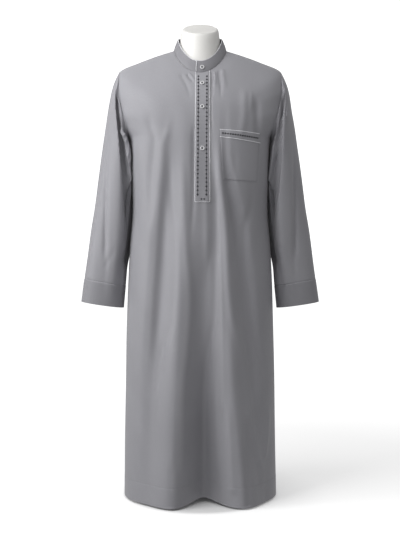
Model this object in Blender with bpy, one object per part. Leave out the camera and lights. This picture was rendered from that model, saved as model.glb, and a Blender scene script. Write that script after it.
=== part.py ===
"""Thobe robe on a limbless dress form.

Metres, +Z up. The front of the robe faces -Y and the wearer's left is +X. The
origin is on the floor, under the middle of the stand's base plate.

The garment is a wall of cloth through level or tilted rings (body), sections
(sleeves) and a wrapped band (collar). Every ring, section and fold line is one
row of a short table below. Pieces sewn on the front are worked out from the
front's own points, moved out along its normals.
"""

import bmesh
import bpy
import numpy as np

# ---------------------------------------------------------------- named sizes
WALL = 0.0020            # cloth wall of the cut pieces
SEAM_HALF = 0.0002       # each panel is drawn back this far from the side seams
ARM_SEAM = 0.0004        # sleeve head to armhole
ON_TOP = 0.0010          # placket above the front
POCKET_ON_TOP = 0.0028   # pocket above the front, which is folded there
LAYER = 0.0014           # wall of a sewn-on piece
CORD_W = 0.0020          # piping width
CORD_H = 0.0016          # piping height

COLLAR_WALL = 0.0024
COLLAR_LAP = 0.0008      # gap between the lapped collar ends
COLLAR_UNDER_X = 0.025   # where the under end stops, right of centre
COLLAR_OVER_X = -0.0130  # where the lapping end stops, left of centre

PLACKET_X0, PLACKET_X1 = -0.0152, 0.0282
PLACKET_X0_TOP = -0.0124   # the left edge slants in towards the neck
PLACKET_TOP_Z, PLACKET_END_Z = 1.2650, 0.8890
SLIT_X = 0.0064          # neck slit and button line
SLIT_END_Z = 0.925
BUTTON_R = 0.0065
BUTTON_T = 0.0026
BUTTON_ZS = (1.2358, 1.1645, 1.0441)
COLLAR_BUTTON_V = 0.44   # share of the collar's height

CUFF_HEM = 0.071
HEM_Z = 0.005

POLE_R = 0.015
POLE_TOP = 0.5935
PLATE_HALF_X, PLATE_HALF_Y, PLATE_MID_Y = 0.160, 0.085, 0.040
PLATE_T = 0.008
SOCKET_R, SOCKET_H = 0.024, 0.028
FLANGE_R, FLANGE_T = 0.045, 0.0055
GAP = 0.0003

# ---------------------------------------------------------------- section tables
# One row for each ring of the body, neck to hem. square is the ring's exponent
# (2 is an ellipse); armhole_x is where the ring stops at the armhole; dip is how
# the ring's height runs from its side to its front and back.
BODY_COLUMNS = ("z_side", "z_front", "z_back", "half_width", "depth_front", "depth_back", "square", "armhole_x", "dip")
BODY = {
    "neck_seam":    (1.3500, 1.2710, 1.3600, 0.0800, 0.0880, 0.0680, 2.00, 0.0800, 1.4),
    "collarbone":   (1.3360, 1.2450, 1.3400, 0.1250, 0.1050, 0.0850, 2.05, 0.1250, 1.5),
    "mid_shoulder": (1.3140, 1.2180, 1.3060, 0.1850, 0.1180, 0.1000, 2.15, 0.1850, 1.5),
    "shoulder_tip": (1.2870, 1.1900, 1.2640, 0.2434, 0.1290, 0.1130, 2.25, 0.2434, 1.5),
    "armhole_top":  (1.2660, 1.1775, 1.2440, 0.2555, 0.1332, 0.1178, 2.28, 0.2430, 1.5),
    "armhole_high": (1.2330, 1.1620, 1.2160, 0.2640, 0.1370, 0.1220, 2.30, 0.2415, 1.5),
    "armhole_mid":  (1.1800, 1.1340, 1.1660, 0.2620, 0.1415, 0.1270, 2.32, 0.2315, 1.5),
    "armhole_low":  (1.1250, 1.1060, 1.1200, 0.2360, 0.1440, 0.1300, 2.55, 0.2165, 1.5),
    "underarm":     (1.0800, 1.0800, 1.0800, 0.2110, 0.1450, 0.1310, 2.90, 0.2110, 1.5),
    "rib":          (0.9610, 0.9610, 0.9610, 0.2068, 0.1430, 0.1290, 2.60, 0.2068, 1.5),
    "waist":        (0.8790, 0.8790, 0.8790, 0.2042, 0.1420, 0.1280, 2.40, 0.2042, 1.5),
    "high_hip":     (0.7480, 0.7480, 0.7480, 0.2140, 0.1465, 0.1400, 2.25, 0.2140, 1.5),
    "hip":          (0.6260, 0.6260, 0.6260, 0.2200, 0.1540, 0.1530, 2.20, 0.2200, 1.5),
    "thigh":        (0.4240, 0.4240, 0.4240, 0.2255, 0.1700, 0.1660, 2.20, 0.2255, 1.5),
    "knee":         (0.2600, 0.2600, 0.2600, 0.2285, 0.1800, 0.1760, 2.20, 0.2285, 1.5),
    "hem":          (HEM_Z,  HEM_Z,  HEM_Z,  0.2320, 0.1900, 0.1880, 2.20, 0.2320, 1.5),
}
BODY_TIP, BODY_UNDER = "shoulder_tip", "underarm"

# Fold lines of the front and back, left to right: where each crest or valley
# runs (x) and how far it stands out (+) or in (-), at these heights.
FOLD_HEIGHTS = (1.050, 0.920, 0.800, 0.600, 0.350, 0.010)
FOLD_TOP_Z = 1.200       # above this the cloth is smooth
FRONT_FOLDS = {
    "left_crest":    ((-0.118, -0.128, -0.144, -0.158, -0.178, -0.184), (0.000, 0.003, 0.007, 0.0065, 0.002, 0.000)),
    "left_valley":   ((-0.087, -0.095, -0.106, -0.118, -0.141, -0.160), (-0.002, -0.007, -0.010, -0.011, -0.006, 0.001)),
    "left_lobe":     ((-0.040, -0.040, -0.050, -0.060, -0.071, -0.082), (0.003, 0.0065, 0.008, 0.0125, 0.020, 0.020)),
    "middle_valley": ((0.020, 0.034, 0.034, 0.010, 0.012, 0.0135),      (-0.001, 0.000, -0.003, -0.0175, -0.043, -0.087)),
    "right_lobe":    ((0.055, 0.061, 0.072, 0.084, 0.094, 0.126),       (0.0035, 0.008, 0.010, 0.0145, 0.019, 0.028)),
    "right_valley":  ((0.072, 0.084, 0.107, 0.134, 0.157, 0.178),       (0.0015, -0.0045, -0.010, -0.009, -0.004, 0.006)),
    "right_crest":   ((0.088, 0.117, 0.146, 0.170, 0.184, 0.196),       (0.0035, 0.0045, 0.003, 0.001, 0.001, 0.000)),
}
BACK_FOLDS = {
    "left_crest":    ((-0.140, -0.146, -0.150, -0.158, -0.170, -0.176), (0.000, 0.002, 0.004, 0.006, 0.008, 0.010)),
    "left_valley":   ((-0.098, -0.104, -0.108, -0.112, -0.118, -0.124), (0.000, -0.004, -0.008, -0.010, -0.013, -0.016)),
    "middle_left":   ((-0.052, -0.056, -0.058, -0.060, -0.062, -0.066), (0.001, 0.004, 0.006, 0.009, 0.014, 0.020)),
    "middle_valley": ((-0.012, -0.012, -0.010, -0.008, -0.004, 0.002),  (0.000, -0.005, -0.008, -0.010, -0.016, -0.026)),
    "middle_right":  ((0.036, 0.040, 0.046, 0.054, 0.064, 0.074),       (0.001, 0.003, 0.006, 0.009, 0.014, 0.020)),
    "right_valley":  ((0.082, 0.090, 0.098, 0.108, 0.122, 0.132),       (0.000, -0.003, -0.006, -0.008, -0.011, -0.014)),
    "right_crest":   ((0.128, 0.136, 0.144, 0.154, 0.166, 0.178),       (0.000, 0.003, 0.004, 0.005, 0.007, 0.008)),
}
HEM_LIFT, HEM_LIFT_X, HEM_LIFT_W, HEM_LIFT_Z = 0.009, 0.012, 0.050, 0.30

# One row for each section of the sleeve, armhole to cuff: its outer and inner
# points seen from the front, half its depth, and how far its middle bows out.
SLEEVE_COLUMNS = ("x_out", "z_out", "x_in", "z_in", "half_depth", "bow")
SLEEVE = {
    "head":      (0.2434, 1.2870, 0.2110, 1.0800, 0.076, 0.006),
    "cap_high":  (0.2556, 1.2647, 0.2100, 1.0640, 0.080, 0.008),
    "cap":       (0.2669, 1.2296, 0.2040, 1.0450, 0.082, 0.007),
    "cap_low":   (0.2739, 1.1930, 0.1990, 1.0222, 0.081, 0.005),
    "arm_high":  (0.2800, 1.1564, 0.1955, 0.9978, 0.079, 0.003),
    "arm":       (0.2876, 1.1106, 0.1925, 0.9673, 0.076, 0.002),
    "arm_low":   (0.2965, 1.0527, 0.1895, 0.9307, 0.072, 0.001),
    "elbow":     (0.3074, 0.9734, 0.1880, 0.8788, 0.068, 0.000),
    "forearm_a": (0.3196, 0.8819, 0.1900, 0.8209, 0.065, 0.000),
    "forearm_b": (0.3318, 0.8087, 0.1990, 0.7660, 0.061, 0.000),
    "forearm_c": (0.3440, 0.7172, 0.2190, 0.6928, 0.055, 0.000),
    "cuff_top":  (0.3532, 0.6562, 0.2272, 0.6348, 0.050, 0.000),
    "cuff":      (0.3623, 0.5903, 0.2330, 0.5717, 0.046, 0.000),
}
SLEEVE_BLEND = 1.7       # sections over which the head's curve turns into sections
CLEAR_BODY = 0.0032      # sleeve to body, side by side

# Fold lines of the sleeve: turn is the angle round it (0 outer, 90 front, 180
# inner, 270 back) and out is the offset, at these sections.
SLEEVE_STEPS = (0.0, 1.0, 2.0, 3.0, 4.0, 5.0, 6.0, 7.0, 8.0, 9.0, 10.0, 12.0)
SLEEVE_FOLDS = {
    "low_valley":   ((12, 20, 30, 36, 40, 42, 44, 50, 60, 71, 87, 92),             (0, 0, 0, -0.001, -0.002, -0.003, -0.005, -0.0055, -0.006, -0.006, -0.004, 0)),
    "low_ridge":    ((20, 36, 56, 60, 64, 68, 71, 75, 82, 90, 102, 106),           (0, 0, 0.001, 0.001, 0.001, 0.001, 0.001, 0.001, 0.001, 0.001, 0.001, 0)),
    "outer_ridge":  ((30, 52, 82, 85, 88, 93, 97, 99, 102, 107, 115, 118),         (0, 0.002, 0.004, 0.005, 0.005, 0.005, 0.005, 0.0055, 0.006, 0.006, 0.004, 0)),
    "front_valley": ((40, 72, 99, 103, 107, 112, 118, 125, 132, 136, 139, 140),    (0, -0.006, -0.015, -0.018, -0.018, -0.017, -0.014, -0.009, -0.005, -0.003, -0.002, 0)),
    "front_roll":   ((58, 106, 123, 127, 128, 132, 138, 145, 150, 152, 154, 154),  (0, 0.003, 0.006, 0.006, 0.006, 0.005, 0.003, 0.001, 0, 0, 0, 0)),
    "armpit_dip":   ((66, 128, 143, 147, 149, 152, 156, 161, 165, 166, 167, 167),  (0, 0, -0.008, -0.011, -0.010, -0.006, -0.003, -0.001, 0, 0, 0, 0)),
    "back_roll":    ((300, 258, 218, 212, 210, 207, 200, 196, 196, 196, 196, 196), (0, 0.002, 0.004, 0.005, 0.004, 0.002, 0.001, 0, 0, 0, 0, 0)),
    "back_valley":  ((318, 286, 252, 244, 240, 232, 226, 218, 214, 214, 214, 214), (0, -0.005, -0.011, -0.014, -0.014, -0.013, -0.010, -0.005, -0.002, 0, 0, 0)),
    "back_ridge":   ((330, 310, 288, 280, 274, 266, 258, 250, 246, 244, 242, 242), (0, 0.001, 0.003, 0.004, 0.004, 0.003, 0.002, 0.002, 0.001, 0, 0, 0)),
    "back_low":     ((342, 334, 322, 314, 308, 302, 296, 290, 286, 284, 284, 284), (0, 0, 0, -0.001, -0.001, -0.002, -0.003, -0.003, -0.003, -0.003, -0.002, 0)),
}

# Top ring of the standing collar; its bottom ring is the body's neck seam.
COLLAR_TOP = (1.3850, 1.3070, 1.4000, 0.0668, 0.0780, 0.0600, 2.00, 0.0668, 1.25)
COLLAR_BULGE = 0.0012

# Pocket on the wearer's left: corners as (x, z), then its band.
POCKET = {"left": 0.0585, "right": 0.1730, "top_left": 1.0990, "top_right": 1.0900, "foot_left": 0.9530, "foot_right": 0.9480, "foot_in": 0.006}
BAND = {"top_left": 1.0980, "top_right": 1.0890, "foot_left": 1.0775, "foot_right": 1.0625}

# Rings of the dress form, neck top to foot.
FORM_COLUMNS = ("z_side", "z_front", "z_back", "half_width", "depth_front", "depth_back", "square", "dip")
FORM = {
    "cap_edge":    (1.4165, 1.3935, 1.4392, 0.0495, 0.0525, 0.0435, 2.00, 1.00),
    "cap_round":   (1.4144, 1.3912, 1.4368, 0.0539, 0.0573, 0.0478, 2.00, 1.00),
    "neck_top":    (1.4080, 1.3850, 1.4300, 0.0562, 0.0598, 0.0500, 2.00, 1.00),
    "neck_mid":    (1.3960, 1.3770, 1.4120, 0.0580, 0.0615, 0.0510, 2.00, 1.00),
    "neck":        (1.3830, 1.3580, 1.3930, 0.0597, 0.0632, 0.0525, 2.00, 1.10),
    "neck_foot":   (1.3620, 1.3170, 1.3680, 0.0640, 0.0665, 0.0550, 2.00, 1.25),
    "neck_flare":  (1.3450, 1.2920, 1.3490, 0.0735, 0.0705, 0.0580, 2.00, 1.35),
    "collarbone":  (1.3320, 1.2540, 1.3310, 0.1060, 0.0845, 0.0700, 2.05, 1.40),
    "shoulder":    (1.3180, 1.2180, 1.3080, 0.1560, 0.1050, 0.0880, 2.10, 1.40),
    "shoulder_o":  (1.3020, 1.1880, 1.2840, 0.1920, 0.1110, 0.0960, 2.20, 1.40),
    "deltoid":     (1.2820, 1.1620, 1.2600, 0.2080, 0.1150, 0.1010, 2.20, 1.40),
    "deltoid_low": (1.2420, 1.1320, 1.2200, 0.2095, 0.1170, 0.1050, 2.20, 1.40),
    "armpit_high": (1.1880, 1.0950, 1.1700, 0.2010, 0.1190, 0.1080, 2.20, 1.40),
    "armpit":      (1.1280, 1.0500, 1.1150, 0.1840, 0.1190, 0.1090, 2.20, 1.40),
    "rib_high":    (1.0500, 0.9950, 1.0450, 0.1720, 0.1170, 0.1080, 2.20, 1.40),
    "rib":         (0.9600, 0.9300, 0.9600, 0.1600, 0.1120, 0.1030, 2.20, 1.40),
    "waist":       (0.8700, 0.8600, 0.8700, 0.1520, 0.1080, 0.0990, 2.20, 1.40),
    "high_hip":    (0.7800, 0.7800, 0.7800, 0.1600, 0.1120, 0.1100, 2.20, 1.40),
    "hip":         (0.6900, 0.6900, 0.6900, 0.1690, 0.1170, 0.1190, 2.20, 1.40),
    "foot_high":   (0.6250, 0.6250, 0.6250, 0.1640, 0.1120, 0.1130, 2.20, 1.40),
    "foot":        (0.6000, 0.6000, 0.6000, 0.1500, 0.1000, 0.1010, 2.20, 1.40),
}

# ---------------------------------------------------------------- mesh density
ARM_STEPS = 9            # rows of the panels beside each armhole half
FRONT_COLUMNS_ = 30
BACK_COLUMNS_ = 18
SHOULDER_ROWS = 4
SKIRT_ROWS = 16
SKIRT_SPREAD = 1.30      # rows lie closer together at the chest than at the hem
FORM_SIDES = 28
COLLAR_STEPS = np.linspace(0, 1, 43)

COLOURS = {
    "cloth": (0.36, 0.36, 0.385), "piping": (0.62, 0.62, 0.65), "button": (0.80, 0.80, 0.82),
    "form": (0.86, 0.85, 0.82), "steel": (0.55, 0.55, 0.56),
}


# ---------------------------------------------------------------- curves
def curve(xk, yk, x, flat_ends=False):
    """A smooth curve with no overshoot through each row of knots, read at x (one x for each row)."""
    xk, yk, x = (np.atleast_2d(np.asarray(v, float)) for v in (xk, yk, x))
    x = x.reshape(-1)
    rows = max(len(x), len(xk), len(yk))
    xk = np.broadcast_to(xk, (rows, xk.shape[1]))
    yk = np.broadcast_to(yk, (rows, yk.shape[1]))
    x = np.broadcast_to(x, (rows,))
    h = np.diff(xk, axis=1)
    d = np.diff(yk, axis=1) / h
    m = np.zeros(yk.shape)
    a, b = d[:, :-1], d[:, 1:]
    w1, w2 = 2 * h[:, 1:] + h[:, :-1], h[:, 1:] + 2 * h[:, :-1]
    same = a * b > 1e-14
    m[:, 1:-1] = np.where(same, (w1 + w2) / (w1 / np.where(same, a, 1) + w2 / np.where(same, b, 1)), 0)
    if not flat_ends:
        m[:, 0], m[:, -1] = d[:, 0], d[:, -1]
    i = np.clip((xk <= x[:, None]).sum(1) - 1, 0, xk.shape[1] - 2)
    r = np.arange(rows)
    hi = h[r, i]
    s = np.clip((x - xk[r, i]) / hi, 0, 1)
    s2, s3 = s * s, s * s * s
    return ((2 * s3 - 3 * s2 + 1) * yk[r, i] + (s3 - 2 * s2 + s) * hi * m[r, i]
            + (3 * s2 - 2 * s3) * yk[r, i + 1] + (s3 - s2) * hi * m[r, i + 1])


def soft_step(v):
    v = np.clip(v, 0, 1)
    return v * v * (3 - 2 * v)


def unit(v):
    return v / np.maximum(np.linalg.norm(v, axis=-1, keepdims=True), 1e-12)


# ---------------------------------------------------------------- the body's surface
BODY_TABLE = np.array(list(BODY.values()))
ALONG = np.concatenate([[0.0], np.cumsum(np.hypot(np.diff(BODY_TABLE[:, 1]), np.diff(BODY_TABLE[:, 4])))])
T_TIP = ALONG[list(BODY).index(BODY_TIP)]
T_UNDER = ALONG[list(BODY).index(BODY_UNDER)]
T_HEM = ALONG[-1]


def body_ring(t):
    t = np.atleast_1d(t)
    return {name: curve(ALONG, BODY_TABLE[:, k], t) for k, name in enumerate(BODY_COLUMNS)}


def t_at_side(z):
    """The body's ring, below the underarm, at a height."""
    ts = np.linspace(T_UNDER, T_HEM, 500)
    zs = body_ring(ts)["z_side"]
    return np.interp(-np.asarray(z), -zs, ts)


def fold_offset(folds, x, z, half_width):
    heights = np.array((FOLD_TOP_Z,) + FOLD_HEIGHTS)[::-1]
    edge = 0.93 * half_width
    lines_x, lines_h = [-edge], [np.zeros(len(x))]
    for xs, outs in folds.values():
        lines_x.append(curve(heights, np.array((xs[0],) + xs)[::-1], z))
        lines_h.append(curve(heights, np.array((0.0,) + outs)[::-1], z))
    lines_x.append(edge)
    lines_h.append(np.zeros(len(x)))
    return curve(np.stack(lines_x, 1), np.stack(lines_h, 1), x, flat_ends=True)


def skin(t, angle):
    """The robe's outer surface: t runs from neck to hem, angle round it, -90 degrees at the front."""
    t, angle = np.broadcast_arrays(np.asarray(t, float), np.asarray(angle, float))
    shape = t.shape
    t, angle = t.reshape(-1), angle.reshape(-1)
    c = body_ring(t)
    a, n = c["half_width"], c["square"]
    ca, sa = np.cos(angle), np.sin(angle)
    front = sa <= 0
    b = np.where(front, c["depth_front"], c["depth_back"])
    z_far = np.where(front, c["z_front"], c["z_back"])
    r = ((np.abs(ca) / a) ** n + (np.abs(sa) / b) ** n) ** (-1 / n)
    x, y = r * ca, r * sa
    z = c["z_side"] + (z_far - c["z_side"]) * (np.abs(y) / b) ** c["dip"]
    nx = np.sign(x) * (np.abs(x) / a) ** (n - 1) / a
    ny = np.sign(y) * (np.abs(y) / b) ** (n - 1) / b
    size = np.hypot(nx, ny)
    out = np.where(front, fold_offset(FRONT_FOLDS, x, z, a), fold_offset(BACK_FOLDS, x, z, a))
    lift = HEM_LIFT * np.exp(-((x - HEM_LIFT_X) / HEM_LIFT_W) ** 2) * soft_step(1 - z / HEM_LIFT_Z) * front
    p = np.stack([x + out * nx / size, y + out * ny / size, z + lift], -1)
    return p.reshape(shape + (3,))


def skin_normal(t, angle):
    e = 2e-4
    t, angle = np.broadcast_arrays(np.asarray(t, float), np.asarray(angle, float))
    t0, t1 = np.clip(t - e, 0, T_HEM), np.clip(t + e, 0, T_HEM)
    down = skin(t1, angle) - skin(t0, angle)
    turn = skin(t, angle + e) - skin(t, angle - e)
    return unit(np.cross(down, turn))


def armhole_angle(t, front=True):
    c = body_ring(t)
    b = c["depth_front"] if front else c["depth_back"]
    y = b * np.maximum(1 - (c["armhole_x"] / c["half_width"]) ** c["square"], 0) ** (1 / c["square"])
    angle = np.arctan2(y, c["armhole_x"])
    return np.where((t <= T_TIP) | (t >= T_UNDER), 0.0, angle)


def front_angle(x, t):
    """The angle of the front's point at a given x."""
    c = body_ring(t)
    y = c["depth_front"] * np.maximum(1 - (np.abs(x) / c["half_width"]) ** c["square"], 0) ** (1 / c["square"])
    return np.arctan2(-y, x)


def front_at(x, z):
    """(point, normal) of the front at x and height z."""
    x, z = np.broadcast_arrays(np.asarray(x, float), np.asarray(z, float))
    shape = x.shape
    x, z = x.reshape(-1), z.reshape(-1)
    low, high = np.zeros(len(x)), np.full(len(x), T_HEM)
    for _ in range(36):
        mid = 0.5 * (low + high)
        above = skin(mid, front_angle(x, mid))[:, 2] > z
        low, high = np.where(above, mid, low), np.where(above, high, mid)
    t = 0.5 * (low + high)
    angle = front_angle(x, t)
    return skin(t, angle).reshape(shape + (3,)), skin_normal(t, angle).reshape(shape + (3,))


# ---------------------------------------------------------------- the sleeve's surface
SLEEVE_TABLE = np.array(list(SLEEVE.values()))
CUFF_STEP = len(SLEEVE) - 1


def armhole_point(psi):
    """Seam line on the wearer's left: (outer point, panel normal); psi 0 at the tip, 180 degrees at the underarm."""
    psi = np.mod(psi, 2 * np.pi)
    t = T_TIP + (T_UNDER - T_TIP) * (1 - np.cos(psi)) / 2
    front = psi <= np.pi
    turn = np.where(front, -armhole_angle(t, True), armhole_angle(t, False))
    return skin(t, turn), skin_normal(t, turn)


def body_side_x(y, z):
    """Half-width of the body at depth y and height z, below the underarm."""
    c = body_ring(t_at_side(np.minimum(z, BODY[BODY_UNDER][0])))
    b = np.where(y < 0, c["depth_front"], c["depth_back"])
    return c["half_width"] * np.maximum(1 - np.minimum(np.abs(y) / b, 1) ** c["square"], 0) ** (1 / c["square"])


def sleeve_skin(s, psi, folds=1.0):
    s, psi = np.broadcast_arrays(np.asarray(s, float), np.asarray(psi, float))
    shape = s.shape
    s, psi = s.reshape(-1), np.mod(psi.reshape(-1), 2 * np.pi)
    steps = np.arange(len(SLEEVE_TABLE))
    c = {name: curve(steps, SLEEVE_TABLE[:, k], s) for k, name in enumerate(SLEEVE_COLUMNS)}
    cp, sp = np.cos(psi), np.sin(psi)
    mx, mz = (c["x_out"] + c["x_in"]) / 2, (c["z_out"] + c["z_in"]) / 2
    rx, rz = (c["x_out"] - c["x_in"]) / 2, (c["z_out"] - c["z_in"]) / 2
    reach = np.hypot(rx, rz)
    x = mx + rx * cp + c["bow"] * sp * sp
    y = -c["half_depth"] * sp
    z = mz + rz * cp
    nx, ny, nz = cp / reach * rx / reach, -sp / c["half_depth"], cp / reach * rz / reach
    size = np.sqrt(nx * nx + ny * ny + nz * nz)
    turns, outs = [], []
    for angles, out in SLEEVE_FOLDS.values():
        turns.append(np.radians(curve(SLEEVE_STEPS, angles, s)))
        outs.append(curve(SLEEVE_STEPS, out, s))
    zero = np.zeros(len(s))
    turns = np.stack([zero - 1e-3] + turns[:6] + [zero + np.pi] + turns[6:] + [zero + 2 * np.pi + 1e-3], 1)
    outs = np.stack([zero] + outs[:6] + [zero] + outs[6:] + [zero], 1)
    out = folds * curve(turns, outs, psi, flat_ends=True)
    head, _ = armhole_point(psi)
    w = soft_step(s / SLEEVE_BLEND)[:, None]
    p = np.stack([x, y, z], -1) * w + head * (1 - w)
    p = p + (out / size)[:, None] * np.stack([nx, ny, nz], -1)
    # beside the body the sleeve lies flat along it, with a small gap
    gap = 0.0004 + (CLEAR_BODY - 0.0004) * soft_step(s / 1.2)
    wall = body_side_x(p[:, 1], p[:, 2]) + gap
    lean = 0.0016 * soft_step(s / 1.2)
    pressed = 0.5 * (p[:, 0] + wall + np.sqrt((p[:, 0] - wall) ** 2 + lean ** 2))
    p[:, 0] = np.where(s > 0, pressed, p[:, 0])
    return p.reshape(shape + (3,))


def sleeve_normal(s, psi, folds=1.0):
    e = 1e-3
    s, psi = np.broadcast_arrays(np.asarray(s, float), np.asarray(psi, float))
    s0, s1 = np.clip(s - e, 0.001, CUFF_STEP), np.clip(s + e, 0.001, CUFF_STEP)
    along = sleeve_skin(s1, psi, folds) - sleeve_skin(s0, psi, folds)
    turn = sleeve_skin(s, psi + e, folds) - sleeve_skin(s, psi - e, folds)
    n = unit(np.cross(turn, along))
    _, seam = armhole_point(psi.reshape(-1))
    # over the shoulder the sleeve head shares the panels' normals; under the arm the seam is a fold
    share = ((1 + np.cos(psi)) / 2) ** 1.5 * (1 - soft_step(s / 0.6))
    return unit(n * (1 - share[..., None]) + seam.reshape(n.shape) * share[..., None])


# ---------------------------------------------------------------- the collar's surface
def collar_skin(v, angle):
    """Outer face of the collar: v 0 at the neck seam, 1 at its top."""
    v, angle = np.broadcast_arrays(np.asarray(v, float), np.asarray(angle, float))
    foot = dict(zip(BODY_COLUMNS, BODY["neck_seam"]))
    top = dict(zip(BODY_COLUMNS, COLLAR_TOP))
    c = {k: foot[k] + (top[k] - foot[k]) * v for k in foot}
    ca, sa = np.cos(angle), np.sin(angle)
    front = sa <= 0
    b = np.where(front, c["depth_front"], c["depth_back"]) + COLLAR_BULGE * np.sin(np.pi * v)
    a = c["half_width"] + COLLAR_BULGE * np.sin(np.pi * v)
    z_far = np.where(front, c["z_front"], c["z_back"])
    r = 1 / np.sqrt((ca / a) ** 2 + (sa / b) ** 2)
    x, y = r * ca, r * sa
    z = c["z_side"] + (z_far - c["z_side"]) * (np.abs(y) / b) ** c["dip"]
    return np.stack([x, y, z], -1)


def collar_normal(v, angle):
    e = 1e-4
    v, angle = np.broadcast_arrays(np.asarray(v, float), np.asarray(angle, float))
    up = collar_skin(v + e, angle) - collar_skin(v - e, angle)
    turn = collar_skin(v, angle + e) - collar_skin(v, angle - e)
    return unit(np.cross(turn, up))


def collar_path(q):
    """(angle, inward shift) along the wrapped band: q 0 at the under end, 1 at the lapping end."""
    b = BODY["neck_seam"][4]
    start = -np.pi / 2 + COLLAR_UNDER_X / b
    end = -np.pi / 2 - 2 * np.pi + COLLAR_OVER_X / b
    angle = start + (end - start) * np.asarray(q, float)
    under = 1 - soft_step((start - angle) / np.radians(75))
    return angle, under * (COLLAR_WALL + COLLAR_LAP)


# ---------------------------------------------------------------- making solids
def material(kind):
    name = "mat_" + kind
    mat = bpy.data.materials.get(name)
    if mat is None:
        mat = bpy.data.materials.new(name)
        mat.use_nodes = True
        shader = mat.node_tree.nodes["Principled BSDF"]
        shader.inputs["Base Color"].default_value = COLOURS[kind] + (1.0,)
        shader.inputs["Roughness"].default_value = {"cloth": 0.75, "piping": 0.6, "button": 0.25, "form": 0.4, "steel": 0.3}[kind]
        shader.inputs["Metallic"].default_value = 1.0 if kind == "steel" else 0.0
    return mat


def add_object(name, verts, faces, kind, smooth=False):
    mesh = bpy.data.meshes.new(name)
    mesh.from_pydata([tuple(float(c) for c in v) for v in verts], [], faces)
    bm = bmesh.new()
    bm.from_mesh(mesh)
    bmesh.ops.recalc_face_normals(bm, faces=bm.faces)
    bm.to_mesh(mesh)
    bm.free()
    mesh.materials.append(material(kind))
    if smooth:
        mesh.shade_smooth()
        mesh.set_sharp_from_angle(angle=np.radians(40))
    obj = bpy.data.objects.new(name, mesh)
    bpy.context.scene.collection.objects.link(obj)
    return obj


def wall_solid(name, outer, inner, kind, keep=None, round_=False):
    """A closed wall between two grids of points. keep says which cells are cloth; round_ joins the last column to the first."""
    rows, cols = outer.shape[:2]
    cells_c = cols if round_ else cols - 1
    if keep is None:
        keep = np.ones((rows - 1, cells_c), bool)
    index, verts = {}, []

    def vert(side, i, j):
        key = (side, i, j % cols)
        if key not in index:
            index[key] = len(verts)
            verts.append((outer if side == 0 else inner)[key[1], key[2]])
        return index[key]

    faces = []
    for i in range(rows - 1):
        for j in range(cells_c):
            if not keep[i, j]:
                continue
            for side in (0, 1):
                a, b, c, d = (vert(side, i, j), vert(side, i + 1, j), vert(side, i + 1, j + 1), vert(side, i, j + 1))
                faces += [(a, b, c), (a, c, d)]
            edges = (((i, j), (i, j + 1), i > 0 and keep[i - 1, j]),
                     ((i + 1, j), (i + 1, j + 1), i < rows - 2 and keep[i + 1, j]),
                     ((i, j), (i + 1, j), (round_ or j > 0) and keep[i, j - 1]),
                     ((i, j + 1), (i + 1, j + 1), (round_ or j < cells_c - 1) and keep[i, (j + 1) % cells_c]))
            for p, q, inside in edges:
                if inside:
                    continue
                a, b, c, d = vert(0, *p), vert(0, *q), vert(1, *q), vert(1, *p)
                faces += [(a, b, c), (a, c, d)]
    return add_object(name, verts, faces, kind)


def turned_solid(name, profile, sides, kind, place=None, axes=None):
    """A solid turned about its own axis from (radius, height) points, bottom to top; radius 0 closes an end."""
    verts, rings = [], []
    for radius, height in profile:
        if radius < 1e-9:
            rings.append([len(verts)])
            verts.append((0.0, 0.0, height))
            continue
        rings.append(list(range(len(verts), len(verts) + sides)))
        for k in range(sides):
            angle = 2 * np.pi * k / sides
            verts.append((radius * np.cos(angle), radius * np.sin(angle), height))
    faces = []
    for low, high in zip(rings, rings[1:] + ([rings[0]] if profile[0][0] > 1e-9 and profile[-1][0] > 1e-9 else [])):
        for k in range(sides):
            n = (k + 1) % sides
            if len(low) == 1:
                faces.append((low[0], high[n], high[k]))
            elif len(high) == 1:
                faces.append((low[k], low[n], high[0]))
            else:
                faces += [(low[k], low[n], high[n]), (low[k], high[n], high[k])]
    verts = np.array(verts)
    if axes is not None:
        verts = verts @ np.array(axes)
    if place is not None:
        verts = verts + np.array(place)
    return add_object(name, verts, faces, kind, smooth=True)


# ---------------------------------------------------------------- the cut pieces
def panel_rows():
    """Rows shared by front and back, so that their side seams match."""
    top = np.linspace(0.0, T_TIP, SHOULDER_ROWS, endpoint=False)
    arm = T_TIP + (T_UNDER - T_TIP) * (1 - np.cos(np.pi * np.arange(ARM_STEPS + 1) / ARM_STEPS)) / 2
    skirt = T_UNDER + (T_HEM - T_UNDER) * (np.arange(1, SKIRT_ROWS + 1) / SKIRT_ROWS) ** SKIRT_SPREAD
    return np.concatenate([top, arm, skirt])


def make_front():
    t = panel_rows()
    u = np.linspace(-1, 1, FRONT_COLUMNS_ + 1)
    u = u - 0.25 * np.sin(np.pi * u) / np.pi      # columns lie closer together in the middle
    slit = 0.0035
    u = np.sort(np.concatenate([u[np.abs(u) > 0.01], [-slit, slit]]))
    span = np.pi / 2 - armhole_angle(t, True)
    centre = front_angle(np.full(len(t), SLIT_X), t) + np.pi / 2
    angle = -np.pi / 2 + u[None, :] * span[:, None] + (1 - np.abs(u))[None, :] * centre[:, None]
    outer = skin(t[:, None], angle)
    normal = skin_normal(t[:, None], angle)
    seam = (t <= T_TIP + 1e-9) | (t >= T_UNDER - 1e-9)
    for j in (0, -1):
        normal[seam, j, 1] = 0
    normal = unit(normal)
    keep = np.ones((len(t) - 1, len(u) - 1), bool)
    middle = int(np.searchsorted(u, 0)) - 1
    keep[:, middle] = outer[1:, middle, 2] < SLIT_END_Z
    shift = np.array([0, -SEAM_HALF, 0])
    return wall_solid("front_panel", outer + shift, outer - WALL * normal + shift, "cloth", keep)


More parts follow.
